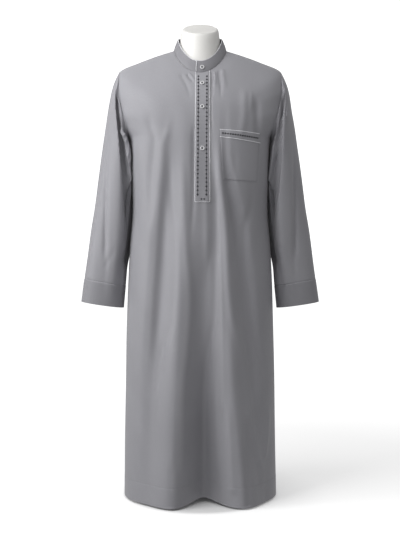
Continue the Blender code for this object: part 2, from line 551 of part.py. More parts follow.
def make_back():
    t = panel_rows()
    u = np.linspace(-1, 1, BACK_COLUMNS_ + 1)
    span = np.pi / 2 - armhole_angle(t, False)
    angle = np.pi / 2 + u[None, :] * span[:, None]
    outer = skin(t[:, None], angle)
    normal = skin_normal(t[:, None], angle)
    seam = (t <= T_TIP + 1e-9) | (t >= T_UNDER - 1e-9)
    for j in (0, -1):
        normal[seam, j, 1] = 0
    normal = unit(normal)
    shift = np.array([0, SEAM_HALF, 0])
    return wall_solid("back_panel", outer + shift, outer - WALL * normal + shift, "cloth")


def make_sleeve(name, side, folds):
    psi = np.pi * np.arange(2 * ARM_STEPS) / ARM_STEPS
    s = np.concatenate([[0.0, 0.45], np.arange(1, CUFF_STEP + 1)])
    outer = sleeve_skin(s[:, None], psi[None, :], folds)
    normal = sleeve_normal(s[:, None], psi[None, :], folds)
    for j in (0, ARM_STEPS):
        normal[0, j, 1] = 0
    normal = unit(normal)
    inner = outer - WALL * normal
    rise = np.sin(psi / 2)[None, :] ** 2 * (1 - soft_step(s))[:, None]
    shift = ARM_SEAM * np.stack([np.ones(rise.shape), np.zeros(rise.shape), 1.2 * rise], -1)
    outer, inner = outer + shift, inner + shift
    flip = np.array([side, 1, 1])
    return wall_solid(name, outer * flip, inner * flip, "cloth", round_=True)


def make_collar():
    q = COLLAR_STEPS
    v = np.array([0.022, 0.5, 1.0])
    angle, inward = collar_path(q)
    outer = collar_skin(v[:, None], angle[None, :])
    normal = collar_normal(v[:, None], angle[None, :])
    outer = outer - inward[None, :, None] * normal
    return wall_solid("collar_band", outer, outer - COLLAR_WALL * normal, "cloth")


def neck_z(x):
    zero = np.zeros(len(x))
    return skin(zero, front_angle(x, zero))[:, 2]


def placket_left(z):
    """The placket's left edge at a height: a straight line, a little off plumb."""
    return PLACKET_X0 + (PLACKET_X0_TOP - PLACKET_X0) * (z - PLACKET_END_Z) / (PLACKET_TOP_Z - PLACKET_END_Z)


def make_placket():
    across, share = np.linspace(0, 1, 5), np.linspace(0, 1, 16)
    x_top = PLACKET_X0_TOP + 0.0014 + (PLACKET_X1 - PLACKET_X0_TOP - 0.0028) * across
    top = neck_z(x_top) - 0.0015
    foot = PLACKET_END_Z + 0.0014
    z = top[None, :] + (foot - top[None, :]) * share[:, None]
    left = placket_left(z) + 0.0014
    p, n = front_at(left + (PLACKET_X1 - 0.0014 - left) * across, z)
    return wall_solid("placket", p + (ON_TOP + LAYER) * n, p + ON_TOP * n, "cloth")


def ribbon(name, path, width, low, high, kind, top_limit=None):
    """A narrow strip laid on the front along a path of (x, z) points, mitred at its corners."""
    path = np.array(path, float)
    step = unit(np.diff(path, axis=0))
    ahead = np.vstack([step, step[-1:]])
    behind = np.vstack([step[:1], step])
    side_a = np.stack([-ahead[:, 1], ahead[:, 0]], 1)
    side_b = np.stack([-behind[:, 1], behind[:, 0]], 1)
    mitre = unit(side_a + side_b)
    mitre = mitre / np.maximum((mitre * side_a).sum(1, keepdims=True), 0.3)
    xz = np.stack([path - mitre * width / 2, path + mitre * width / 2], 1)
    p, n = front_at(xz[..., 0], xz[..., 1])
    return wall_solid(name, p + high * n, p + low * n, kind)


def runs(corners, pitch):
    points = [np.array(corners[0], float)]
    for a, b in zip(corners, corners[1:]):
        a, b = np.array(a, float), np.array(b, float)
        count = max(1, int(round(np.linalg.norm(b - a) / pitch)))
        points += [a + (b - a) * k / count for k in range(1, count + 1)]
    return points


def make_placket_piping():
    left, right = PLACKET_X0, PLACKET_X1
    top = neck_z(np.array([PLACKET_X0_TOP, right])) - 0.0020
    return ribbon("placket_piping", runs([(placket_left(top[0]), top[0]), (left, PLACKET_END_Z), (right, PLACKET_END_Z), (right, top[1])], 0.030),
                  CORD_W, ON_TOP, ON_TOP + CORD_H, "piping")


def quad_patch(name, corners, columns, rows, low, high, kind):
    """A patch on the front between four (x, z) corners: top left, top right, foot right, foot left."""
    tl, tr, fr, fl = (np.array(c, float) for c in corners)
    u, v = np.linspace(0, 1, columns)[None, :, None], np.linspace(0, 1, rows)[:, None, None]
    xz = (tl * (1 - u) + tr * u) * (1 - v) + (fl * (1 - u) + fr * u) * v
    p, n = front_at(xz[..., 0], xz[..., 1])
    return wall_solid(name, p + high * n, p + low * n, kind)


def make_pocket():
    """Mouth band with a piping in each of its seams, and the patch below it."""
    k, low, edge = POCKET, POCKET_ON_TOP, CORD_W / 2 + 0.0006
    x0, x1 = k["left"], k["right"]
    quad_patch("pocket_patch", ((x0, BAND["foot_left"] - edge), (x1, BAND["foot_right"] - edge),
                                (x1 - k["foot_in"], k["foot_right"]), (x0 + k["foot_in"], k["foot_left"])),
               11, 8, low, low + LAYER, "cloth")
    quad_patch("pocket_band", ((x0 - 0.0006, BAND["top_left"] - edge), (x1 + 0.0006, BAND["top_right"] - edge),
                               (x1 + 0.0006, BAND["foot_right"] + edge), (x0 - 0.0006, BAND["foot_left"] + edge)),
               11, 3, low, low + LAYER + 0.0003, "cloth")
    for name, a, b in (("pocket_piping_top", "top_left", "top_right"), ("pocket_piping_low", "foot_left", "foot_right")):
        ribbon(name, runs([(x0 - 0.0012, BAND[a]), (x1 + 0.0012, BAND[b])], 0.0117), CORD_W, low, low + CORD_H + 0.0004, "piping")


def make_collar_piping():
    """Piping round the collar's top edge, then down its lapping end."""
    q = COLLAR_STEPS[1:]
    angle, inward = collar_path(q)
    top = collar_skin(np.ones(len(q)), angle)
    n = collar_normal(np.ones(len(q)), angle)
    centre = top - (inward + COLLAR_WALL / 2)[:, None] * n
    up = np.array([0, 0, 1.0])
    half_w, high = 0.0010, 0.0016
    low_in, low_out = centre - half_w * n + up * 0.0006, centre + half_w * n + up * 0.0006
    rows = np.stack([low_in, low_out, low_out + up * high, low_in + up * high], 0)
    count = rows.shape[1]
    verts = rows.transpose(1, 0, 2).reshape(-1, 3)
    faces = []
    for k in range(count - 1):
        for m in range(4):
            a, b = 4 * k + m, 4 * k + (m + 1) % 4
            faces += [(a, b, b + 4), (a, b + 4, a + 4)]
    last = 4 * (count - 1)
    faces += [(0, 1, 2), (0, 2, 3), (last, last + 1, last + 2), (last, last + 2, last + 3)]
    add_object("collar_piping", verts, faces, "piping")
    # the cord on the lapping end, standing on the collar's outer face
    angle_end, _ = collar_path(1.0)
    v = np.linspace(0.06, 0.97, 5)
    b = BODY["neck_seam"][4]
    a0, a1 = angle_end + 0.0004 / b, angle_end + 0.0024 / b
    grid = np.array([a0, a1])
    p = collar_skin(v[:, None], grid[None, :])
    n = collar_normal(v[:, None], grid[None, :])
    wall_solid("collar_end_piping", p + (0.0004 + 0.0014) * n, p + 0.0004 * n, "piping")


def button_profile():
    r, t = BUTTON_R, BUTTON_T
    return ((0, 0), (0.72 * r, 0), (0.96 * r, 0.22 * t), (r, 0.55 * t), (0.93 * r, 0.88 * t), (0.78 * r, t),
            (0.62 * r, 0.86 * t), (0.52 * r, 0.62 * t), (0, 0.56 * t))


def frame_on(normal):
    n = normal / np.linalg.norm(normal)
    side = np.cross((0, 0, 1.0), n)
    side /= np.linalg.norm(side)
    return np.array([side, np.cross(n, side), n])


def make_buttons():
    b = BODY["neck_seam"][4]
    angle = -np.pi / 2 + SLIT_X / b
    p, n = collar_skin(COLLAR_BUTTON_V, angle), collar_normal(COLLAR_BUTTON_V, angle)
    turned_solid("button_collar", button_profile(), 18, "button", p + 0.0005 * n, frame_on(n))
    for k, z in enumerate(BUTTON_ZS, 1):
        p, n = front_at(np.array([SLIT_X]), np.array([z]))
        turned_solid(f"button_{k}", button_profile(), 18, "button", p[0] + (ON_TOP + LAYER + 0.0005) * n[0], frame_on(n[0]))


# ---------------------------------------------------------------- dress form and stand
def make_form():
    table = np.array(list(FORM.values()))
    angle = 2 * np.pi * np.arange(FORM_SIDES) / FORM_SIDES
    verts, rings = [], []
    for row in table:
        c = dict(zip(FORM_COLUMNS, row))
        ca, sa = np.cos(angle), np.sin(angle)
        b = np.where(sa <= 0, c["depth_front"], c["depth_back"])
        z_far = np.where(sa <= 0, c["z_front"], c["z_back"])
        n = c["square"]
        r = ((np.abs(ca) / c["half_width"]) ** n + (np.abs(sa) / b) ** n) ** (-1 / n)
        x, y = r * ca, r * sa
        z = c["z_side"] + (z_far - c["z_side"]) * (np.abs(y) / b) ** c["dip"]
        rings.append(range(len(verts), len(verts) + FORM_SIDES))
        verts += list(np.stack([x, y, z], 1))
    faces = []
    for high, low in zip(rings, rings[1:]):
        for k in range(FORM_SIDES):
            m = (k + 1) % FORM_SIDES
            faces += [(high[k], low[k], low[m]), (high[k], low[m], high[m])]
    for ring, row in ((rings[0], table[0]), (rings[-1], table[-1])):
        centre = np.mean([verts[i] for i in ring], axis=0)
        verts.append(centre)
        faces += [(len(verts) - 1, ring[k], ring[(k + 1) % FORM_SIDES]) for k in range(FORM_SIDES)]
    return add_object("form_torso", verts, faces, "form", smooth=True)


def make_stand():
    sides = 24
    pole_foot = PLATE_T + GAP
    turned_solid("stand_pole", ((0, pole_foot), (POLE_R, pole_foot), (POLE_R, POLE_TOP), (0, POLE_TOP)), sides, "steel")
    flange_z = POLE_TOP + GAP
    turned_solid("stand_flange", ((0, flange_z), (FLANGE_R, flange_z), (FLANGE_R, flange_z + FLANGE_T), (0, flange_z + FLANGE_T)), sides, "steel")
    bore = POLE_R + 0.0005
    turned_solid("stand_socket", ((bore, pole_foot), (SOCKET_R, pole_foot), (SOCKET_R, pole_foot + SOCKET_H * 0.85),
                                  (SOCKET_R - 0.004, pole_foot + SOCKET_H), (bore, pole_foot + SOCKET_H)), sides, "steel")
    mesh = bpy.data.meshes.new("stand_base")
    bm = bmesh.new()
    bmesh.ops.create_cube(bm, size=1.0)
    for v in bm.verts:
        v.co = (v.co.x * 2 * PLATE_HALF_X, v.co.y * 2 * PLATE_HALF_Y + PLATE_MID_Y, (v.co.z + 0.5) * PLATE_T)
    upright = [e for e in bm.edges if abs(e.verts[0].co.z - e.verts[1].co.z) > PLATE_T / 2]
    bmesh.ops.bevel(bm, geom=upright, offset=0.035, segments=5, profile=0.5, affect="EDGES")
    rim = [e for e in bm.edges if all(v.co.z > PLATE_T * 0.9 for v in e.verts) and len({f.normal.z > 0.9 for f in e.link_faces}) == 2]
    bmesh.ops.bevel(bm, geom=rim, offset=0.002, segments=1, profile=0.5, affect="EDGES")
    bmesh.ops.recalc_face_normals(bm, faces=bm.faces)
    bm.to_mesh(mesh)
    bm.free()
    mesh.materials.append(material("steel"))
    obj = bpy.data.objects.new("stand_base", mesh)
    bpy.context.scene.collection.objects.link(obj)


def main():
    for obj in list(bpy.data.objects):
        bpy.data.objects.remove(obj, do_unlink=True)
    make_front()
    make_back()
    make_sleeve("sleeve_left", 1, 1.0)
    make_sleeve("sleeve_right", -1, 0.94)
    make_collar()
    make_placket()
    make_placket_piping()
    make_pocket()
    make_collar_piping()
    make_buttons()
    make_form()
    make_stand()


main()
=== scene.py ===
import math

import bpy
import numpy as np
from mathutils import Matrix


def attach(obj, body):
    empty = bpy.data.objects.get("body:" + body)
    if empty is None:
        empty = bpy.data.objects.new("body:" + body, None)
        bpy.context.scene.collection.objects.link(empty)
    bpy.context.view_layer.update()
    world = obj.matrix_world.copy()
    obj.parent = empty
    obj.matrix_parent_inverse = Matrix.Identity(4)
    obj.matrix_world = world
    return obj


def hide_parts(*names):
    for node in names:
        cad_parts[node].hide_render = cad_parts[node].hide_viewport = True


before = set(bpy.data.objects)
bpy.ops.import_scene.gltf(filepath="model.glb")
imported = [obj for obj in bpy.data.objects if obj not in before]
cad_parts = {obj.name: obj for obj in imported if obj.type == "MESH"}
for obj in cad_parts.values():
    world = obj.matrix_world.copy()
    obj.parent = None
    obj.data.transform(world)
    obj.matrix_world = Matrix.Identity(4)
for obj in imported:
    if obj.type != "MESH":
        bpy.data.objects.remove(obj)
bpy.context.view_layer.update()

# ---------------------------------------------------------------- named sizes
WALL = 0.0020            # cloth wall of the cut pieces
SEAM_HALF = 0.0002       # each panel is drawn back this far from the side seams
ARM_SEAM = 0.0004        # sleeve head to armhole
ON_TOP = 0.0010          # placket above the front
POCKET_ON_TOP = 0.0028   # pocket above the front, which is folded there
LAYER = 0.0014           # wall of a sewn-on piece
CORD_W = 0.0020          # piping width
CORD_H = 0.0016          # piping height

COLLAR_WALL = 0.0024
COLLAR_LAP = 0.0008      # gap between the lapped collar ends
COLLAR_UNDER_X = 0.025   # where the under end stops, right of centre
COLLAR_OVER_X = -0.0130  # where the lapping end stops, left of centre

PLACKET_X0, PLACKET_X1 = -0.0152, 0.0282
PLACKET_X0_TOP = -0.0124   # the left edge slants in towards the neck
PLACKET_TOP_Z, PLACKET_END_Z = 1.2650, 0.8890
SLIT_X = 0.0064          # neck slit and button line
SLIT_END_Z = 0.925
BUTTON_R = 0.0065
BUTTON_T = 0.0026
BUTTON_ZS = (1.2358, 1.1645, 1.0441)
COLLAR_BUTTON_V = 0.44   # share of the collar's height

CUFF_HEM = 0.071
HEM_Z = 0.005

POLE_R = 0.015
POLE_TOP = 0.5935
PLATE_HALF_X, PLATE_HALF_Y, PLATE_MID_Y = 0.160, 0.085, 0.040
PLATE_T = 0.008
SOCKET_R, SOCKET_H = 0.024, 0.028
FLANGE_R, FLANGE_T = 0.045, 0.0055
GAP = 0.0003

# ---------------------------------------------------------------- section tables
# One row for each ring of the body, neck to hem. square is the ring's exponent
# (2 is an ellipse); armhole_x is where the ring stops at the armhole; dip is how
# the ring's height runs from its side to its front and back.
BODY_COLUMNS = ("z_side", "z_front", "z_back", "half_width", "depth_front", "depth_back", "square", "armhole_x", "dip")
BODY = {
    "neck_seam":    (1.3500, 1.2710, 1.3600, 0.0800, 0.0880, 0.0680, 2.00, 0.0800, 1.4),
    "collarbone":   (1.3360, 1.2450, 1.3400, 0.1250, 0.1050, 0.0850, 2.05, 0.1250, 1.5),
    "mid_shoulder": (1.3140, 1.2180, 1.3060, 0.1850, 0.1180, 0.1000, 2.15, 0.1850, 1.5),
    "shoulder_tip": (1.2870, 1.1900, 1.2640, 0.2434, 0.1290, 0.1130, 2.25, 0.2434, 1.5),
    "armhole_top":  (1.2660, 1.1775, 1.2440, 0.2555, 0.1332, 0.1178, 2.28, 0.2430, 1.5),
    "armhole_high": (1.2330, 1.1620, 1.2160, 0.2640, 0.1370, 0.1220, 2.30, 0.2415, 1.5),
    "armhole_mid":  (1.1800, 1.1340, 1.1660, 0.2620, 0.1415, 0.1270, 2.32, 0.2315, 1.5),
    "armhole_low":  (1.1250, 1.1060, 1.1200, 0.2360, 0.1440, 0.1300, 2.55, 0.2165, 1.5),
    "underarm":     (1.0800, 1.0800, 1.0800, 0.2110, 0.1450, 0.1310, 2.90, 0.2110, 1.5),
    "rib":          (0.9610, 0.9610, 0.9610, 0.2068, 0.1430, 0.1290, 2.60, 0.2068, 1.5),
    "waist":        (0.8790, 0.8790, 0.8790, 0.2042, 0.1420, 0.1280, 2.40, 0.2042, 1.5),
    "high_hip":     (0.7480, 0.7480, 0.7480, 0.2140, 0.1465, 0.1400, 2.25, 0.2140, 1.5),
    "hip":          (0.6260, 0.6260, 0.6260, 0.2200, 0.1540, 0.1530, 2.20, 0.2200, 1.5),
    "thigh":        (0.4240, 0.4240, 0.4240, 0.2255, 0.1700, 0.1660, 2.20, 0.2255, 1.5),
    "knee":         (0.2600, 0.2600, 0.2600, 0.2285, 0.1800, 0.1760, 2.20, 0.2285, 1.5),
    "hem":          (HEM_Z,  HEM_Z,  HEM_Z,  0.2320, 0.1900, 0.1880, 2.20, 0.2320, 1.5),
}
BODY_TIP, BODY_UNDER = "shoulder_tip", "underarm"

# Fold lines of the front and back, left to right: where each crest or valley
# runs (x) and how far it stands out (+) or in (-), at these heights.
FOLD_HEIGHTS = (1.050, 0.920, 0.800, 0.600, 0.350, 0.010)
FOLD_TOP_Z = 1.200       # above this the cloth is smooth
FRONT_FOLDS = {
    "left_crest":    ((-0.118, -0.128, -0.144, -0.158, -0.178, -0.184), (0.000, 0.003, 0.007, 0.0065, 0.002, 0.000)),
    "left_valley":   ((-0.087, -0.095, -0.106, -0.118, -0.141, -0.160), (-0.002, -0.007, -0.010, -0.011, -0.006, 0.001)),
    "left_lobe":     ((-0.040, -0.040, -0.050, -0.060, -0.071, -0.082), (0.003, 0.0065, 0.008, 0.0125, 0.020, 0.020)),
    "middle_valley": ((0.020, 0.034, 0.034, 0.010, 0.012, 0.0135),      (-0.001, 0.000, -0.003, -0.0175, -0.043, -0.087)),
    "right_lobe":    ((0.055, 0.061, 0.072, 0.084, 0.094, 0.126),       (0.0035, 0.008, 0.010, 0.0145, 0.019, 0.028)),
    "right_valley":  ((0.072, 0.084, 0.107, 0.134, 0.157, 0.178),       (0.0015, -0.0045, -0.010, -0.009, -0.004, 0.006)),
    "right_crest":   ((0.088, 0.117, 0.146, 0.170, 0.184, 0.196),       (0.0035, 0.0045, 0.003, 0.001, 0.001, 0.000)),
}
BACK_FOLDS = {
    "left_crest":    ((-0.140, -0.146, -0.150, -0.158, -0.170, -0.176), (0.000, 0.002, 0.004, 0.006, 0.008, 0.010)),
    "left_valley":   ((-0.098, -0.104, -0.108, -0.112, -0.118, -0.124), (0.000, -0.004, -0.008, -0.010, -0.013, -0.016)),
    "middle_left":   ((-0.052, -0.056, -0.058, -0.060, -0.062, -0.066), (0.001, 0.004, 0.006, 0.009, 0.014, 0.020)),
    "middle_valley": ((-0.012, -0.012, -0.010, -0.008, -0.004, 0.002),  (0.000, -0.005, -0.008, -0.010, -0.016, -0.026)),
    "middle_right":  ((0.036, 0.040, 0.046, 0.054, 0.064, 0.074),       (0.001, 0.003, 0.006, 0.009, 0.014, 0.020)),
    "right_valley":  ((0.082, 0.090, 0.098, 0.108, 0.122, 0.132),       (0.000, -0.003, -0.006, -0.008, -0.011, -0.014)),
    "right_crest":   ((0.128, 0.136, 0.144, 0.154, 0.166, 0.178),       (0.000, 0.003, 0.004, 0.005, 0.007, 0.008)),
}
HEM_LIFT, HEM_LIFT_X, HEM_LIFT_W, HEM_LIFT_Z = 0.009, 0.012, 0.050, 0.30

# One row for each section of the sleeve, armhole to cuff: its outer and inner
# points seen from the front, half its depth, and how far its middle bows out.
SLEEVE_COLUMNS = ("x_out", "z_out", "x_in", "z_in", "half_depth", "bow")
SLEEVE = {
    "head":      (0.2434, 1.2870, 0.2110, 1.0800, 0.076, 0.006),
    "cap_high":  (0.2556, 1.2647, 0.2100, 1.0640, 0.080, 0.008),
    "cap":       (0.2669, 1.2296, 0.2040, 1.0450, 0.082, 0.007),
    "cap_low":   (0.2739, 1.1930, 0.1990, 1.0222, 0.081, 0.005),
    "arm_high":  (0.2800, 1.1564, 0.1955, 0.9978, 0.079, 0.003),
    "arm":       (0.2876, 1.1106, 0.1925, 0.9673, 0.076, 0.002),
    "arm_low":   (0.2965, 1.0527, 0.1895, 0.9307, 0.072, 0.001),
    "elbow":     (0.3074, 0.9734, 0.1880, 0.8788, 0.068, 0.000),
    "forearm_a": (0.3196, 0.8819, 0.1900, 0.8209, 0.065, 0.000),
    "forearm_b": (0.3318, 0.8087, 0.1990, 0.7660, 0.061, 0.000),
    "forearm_c": (0.3440, 0.7172, 0.2190, 0.6928, 0.055, 0.000),
    "cuff_top":  (0.3532, 0.6562, 0.2272, 0.6348, 0.050, 0.000),
    "cuff":      (0.3623, 0.5903, 0.2330, 0.5717, 0.046, 0.000),
}
SLEEVE_BLEND = 1.7       # sections over which the head's curve turns into sections
CLEAR_BODY = 0.0032      # sleeve to body, side by side

# Fold lines of the sleeve: turn is the angle round it (0 outer, 90 front, 180
# inner, 270 back) and out is the offset, at these sections.
SLEEVE_STEPS = (0.0, 1.0, 2.0, 3.0, 4.0, 5.0, 6.0, 7.0, 8.0, 9.0, 10.0, 12.0)
SLEEVE_FOLDS = {
    "low_valley":   ((12, 20, 30, 36, 40, 42, 44, 50, 60, 71, 87, 92),             (0, 0, 0, -0.001, -0.002, -0.003, -0.005, -0.0055, -0.006, -0.006, -0.004, 0)),
    "low_ridge":    ((20, 36, 56, 60, 64, 68, 71, 75, 82, 90, 102, 106),           (0, 0, 0.001, 0.001, 0.001, 0.001, 0.001, 0.001, 0.001, 0.001, 0.001, 0)),
    "outer_ridge":  ((30, 52, 82, 85, 88, 93, 97, 99, 102, 107, 115, 118),         (0, 0.002, 0.004, 0.005, 0.005, 0.005, 0.005, 0.0055, 0.006, 0.006, 0.004, 0)),
    "front_valley": ((40, 72, 99, 103, 107, 112, 118, 125, 132, 136, 139, 140),    (0, -0.006, -0.015, -0.018, -0.018, -0.017, -0.014, -0.009, -0.005, -0.003, -0.002, 0)),
    "front_roll":   ((58, 106, 123, 127, 128, 132, 138, 145, 150, 152, 154, 154),  (0, 0.003, 0.006, 0.006, 0.006, 0.005, 0.003, 0.001, 0, 0, 0, 0)),
    "armpit_dip":   ((66, 128, 143, 147, 149, 152, 156, 161, 165, 166, 167, 167),  (0, 0, -0.008, -0.011, -0.010, -0.006, -0.003, -0.001, 0, 0, 0, 0)),
    "back_roll":    ((300, 258, 218, 212, 210, 207, 200, 196, 196, 196, 196, 196), (0, 0.002, 0.004, 0.005, 0.004, 0.002, 0.001, 0, 0, 0, 0, 0)),
    "back_valley":  ((318, 286, 252, 244, 240, 232, 226, 218, 214, 214, 214, 214), (0, -0.005, -0.011, -0.014, -0.014, -0.013, -0.010, -0.005, -0.002, 0, 0, 0)),
    "back_ridge":   ((330, 310, 288, 280, 274, 266, 258, 250, 246, 244, 242, 242), (0, 0.001, 0.003, 0.004, 0.004, 0.003, 0.002, 0.002, 0.001, 0, 0, 0)),
    "back_low":     ((342, 334, 322, 314, 308, 302, 296, 290, 286, 284, 284, 284), (0, 0, 0, -0.001, -0.001, -0.002, -0.003, -0.003, -0.003, -0.003, -0.002, 0)),
}

# Top ring of the standing collar; its bottom ring is the body's neck seam.
COLLAR_TOP = (1.3850, 1.3070, 1.4000, 0.0668, 0.0780, 0.0600, 2.00, 0.0668, 1.25)
COLLAR_BULGE = 0.0012

# Pocket on the wearer's left: corners as (x, z), then its band.
POCKET = {"left": 0.0585, "right": 0.1730, "top_left": 1.0990, "top_right": 1.0900, "foot_left": 0.9530, "foot_right": 0.9480, "foot_in": 0.006}
BAND = {"top_left": 1.0980, "top_right": 1.0890, "foot_left": 1.0775, "foot_right": 1.0625}

# Rings of the dress form, neck top to foot.
FORM_COLUMNS = ("z_side", "z_front", "z_back", "half_width", "depth_front", "depth_back", "square", "dip")
FORM = {
    "cap_edge":    (1.4165, 1.3935, 1.4392, 0.0495, 0.0525, 0.0435, 2.00, 1.00),
    "cap_round":   (1.4144, 1.3912, 1.4368, 0.0539, 0.0573, 0.0478, 2.00, 1.00),
    "neck_top":    (1.4080, 1.3850, 1.4300, 0.0562, 0.0598, 0.0500, 2.00, 1.00),
    "neck_mid":    (1.3960, 1.3770, 1.4120, 0.0580, 0.0615, 0.0510, 2.00, 1.00),
    "neck":        (1.3830, 1.3580, 1.3930, 0.0597, 0.0632, 0.0525, 2.00, 1.10),
    "neck_foot":   (1.3620, 1.3170, 1.3680, 0.0640, 0.0665, 0.0550, 2.00, 1.25),
    "neck_flare":  (1.3450, 1.2920, 1.3490, 0.0735, 0.0705, 0.0580, 2.00, 1.35),
    "collarbone":  (1.3320, 1.2540, 1.3310, 0.1060, 0.0845, 0.0700, 2.05, 1.40),
    "shoulder":    (1.3180, 1.2180, 1.3080, 0.1560, 0.1050, 0.0880, 2.10, 1.40),
    "shoulder_o":  (1.3020, 1.1880, 1.2840, 0.1920, 0.1110, 0.0960, 2.20, 1.40),
    "deltoid":     (1.2820, 1.1620, 1.2600, 0.2080, 0.1150, 0.1010, 2.20, 1.40),
    "deltoid_low": (1.2420, 1.1320, 1.2200, 0.2095, 0.1170, 0.1050, 2.20, 1.40),
    "armpit_high": (1.1880, 1.0950, 1.1700, 0.2010, 0.1190, 0.1080, 2.20, 1.40),
    "armpit":      (1.1280, 1.0500, 1.1150, 0.1840, 0.1190, 0.1090, 2.20, 1.40),
    "rib_high":    (1.0500, 0.9950, 1.0450, 0.1720, 0.1170, 0.1080, 2.20, 1.40),
    "rib":         (0.9600, 0.9300, 0.9600, 0.1600, 0.1120, 0.1030, 2.20, 1.40),
    "waist":       (0.8700, 0.8600, 0.8700, 0.1520, 0.1080, 0.0990, 2.20, 1.40),
    "high_hip":    (0.7800, 0.7800, 0.7800, 0.1600, 0.1120, 0.1100, 2.20, 1.40),
    "hip":         (0.6900, 0.6900, 0.6900, 0.1690, 0.1170, 0.1190, 2.20, 1.40),
    "foot_high":   (0.6250, 0.6250, 0.6250, 0.1640, 0.1120, 0.1130, 2.20, 1.40),
    "foot":        (0.6000, 0.6000, 0.6000, 0.1500, 0.1000, 0.1010, 2.20, 1.40),
}

# ---------------------------------------------------------------- curves
def curve(xk, yk, x, flat_ends=False):
    """A smooth curve with no overshoot through each row of knots, read at x (one x for each row)."""
    xk, yk, x = (np.atleast_2d(np.asarray(v, float)) for v in (xk, yk, x))
    x = x.reshape(-1)
    rows = max(len(x), len(xk), len(yk))
    xk = np.broadcast_to(xk, (rows, xk.shape[1]))
    yk = np.broadcast_to(yk, (rows, yk.shape[1]))
    x = np.broadcast_to(x, (rows,))
    h = np.diff(xk, axis=1)
    d = np.diff(yk, axis=1) / h
    m = np.zeros(yk.shape)
    a, b = d[:, :-1], d[:, 1:]
    w1, w2 = 2 * h[:, 1:] + h[:, :-1], h[:, 1:] + 2 * h[:, :-1]
    same = a * b > 1e-14
    m[:, 1:-1] = np.where(same, (w1 + w2) / (w1 / np.where(same, a, 1) + w2 / np.where(same, b, 1)), 0)
    if not flat_ends:
        m[:, 0], m[:, -1] = d[:, 0], d[:, -1]
    i = np.clip((xk <= x[:, None]).sum(1) - 1, 0, xk.shape[1] - 2)
    r = np.arange(rows)
    hi = h[r, i]
    s = np.clip((x - xk[r, i]) / hi, 0, 1)
    s2, s3 = s * s, s * s * s
    return ((2 * s3 - 3 * s2 + 1) * yk[r, i] + (s3 - 2 * s2 + s) * hi * m[r, i]
            + (3 * s2 - 2 * s3) * yk[r, i + 1] + (s3 - s2) * hi * m[r, i + 1])


def soft_step(v):
    v = np.clip(v, 0, 1)
    return v * v * (3 - 2 * v)


def unit(v):
    return v / np.maximum(np.linalg.norm(v, axis=-1, keepdims=True), 1e-12)


# ---------------------------------------------------------------- the body's surface
BODY_TABLE = np.array(list(BODY.values()))
ALONG = np.concatenate([[0.0], np.cumsum(np.hypot(np.diff(BODY_TABLE[:, 1]), np.diff(BODY_TABLE[:, 4])))])
T_TIP = ALONG[list(BODY).index(BODY_TIP)]
T_UNDER = ALONG[list(BODY).index(BODY_UNDER)]
T_HEM = ALONG[-1]


def body_ring(t):
    t = np.atleast_1d(t)
    return {name: curve(ALONG, BODY_TABLE[:, k], t) for k, name in enumerate(BODY_COLUMNS)}


def t_at_side(z):
    """The body's ring, below the underarm, at a height."""
    ts = np.linspace(T_UNDER, T_HEM, 500)
    zs = body_ring(ts)["z_side"]
    return np.interp(-np.asarray(z), -zs, ts)


def fold_offset(folds, x, z, half_width):
    heights = np.array((FOLD_TOP_Z,) + FOLD_HEIGHTS)[::-1]
    edge = 0.93 * half_width
    lines_x, lines_h = [-edge], [np.zeros(len(x))]
    for xs, outs in folds.values():
        lines_x.append(curve(heights, np.array((xs[0],) + xs)[::-1], z))
        lines_h.append(curve(heights, np.array((0.0,) + outs)[::-1], z))
    lines_x.append(edge)
    lines_h.append(np.zeros(len(x)))
    return curve(np.stack(lines_x, 1), np.stack(lines_h, 1), x, flat_ends=True)


def skin(t, angle):
    """The robe's outer surface: t runs from neck to hem, angle round it, -90 degrees at the front."""
    t, angle = np.broadcast_arrays(np.asarray(t, float), np.asarray(angle, float))
    shape = t.shape
    t, angle = t.reshape(-1), angle.reshape(-1)
    c = body_ring(t)
    a, n = c["half_width"], c["square"]
    ca, sa = np.cos(angle), np.sin(angle)
    front = sa <= 0
    b = np.where(front, c["depth_front"], c["depth_back"])
    z_far = np.where(front, c["z_front"], c["z_back"])
    r = ((np.abs(ca) / a) ** n + (np.abs(sa) / b) ** n) ** (-1 / n)
    x, y = r * ca, r * sa
    z = c["z_side"] + (z_far - c["z_side"]) * (np.abs(y) / b) ** c["dip"]
    nx = np.sign(x) * (np.abs(x) / a) ** (n - 1) / a
    ny = np.sign(y) * (np.abs(y) / b) ** (n - 1) / b
    size = np.hypot(nx, ny)
    out = np.where(front, fold_offset(FRONT_FOLDS, x, z, a), fold_offset(BACK_FOLDS, x, z, a))
    lift = HEM_LIFT * np.exp(-((x - HEM_LIFT_X) / HEM_LIFT_W) ** 2) * soft_step(1 - z / HEM_LIFT_Z) * front
    p = np.stack([x + out * nx / size, y + out * ny / size, z + lift], -1)
    return p.reshape(shape + (3,))


def skin_normal(t, angle):
    e = 2e-4
    t, angle = np.broadcast_arrays(np.asarray(t, float), np.asarray(angle, float))
    t0, t1 = np.clip(t - e, 0, T_HEM), np.clip(t + e, 0, T_HEM)
    down = skin(t1, angle) - skin(t0, angle)
    turn = skin(t, angle + e) - skin(t, angle - e)
    return unit(np.cross(down, turn))


def armhole_angle(t, front=True):
    c = body_ring(t)
    b = c["depth_front"] if front else c["depth_back"]
    y = b * np.maximum(1 - (c["armhole_x"] / c["half_width"]) ** c["square"], 0) ** (1 / c["square"])
    angle = np.arctan2(y, c["armhole_x"])
    return np.where((t <= T_TIP) | (t >= T_UNDER), 0.0, angle)


def front_angle(x, t):
    """The angle of the front's point at a given x."""
    c = body_ring(t)
    y = c["depth_front"] * np.maximum(1 - (np.abs(x) / c["half_width"]) ** c["square"], 0) ** (1 / c["square"])
    return np.arctan2(-y, x)


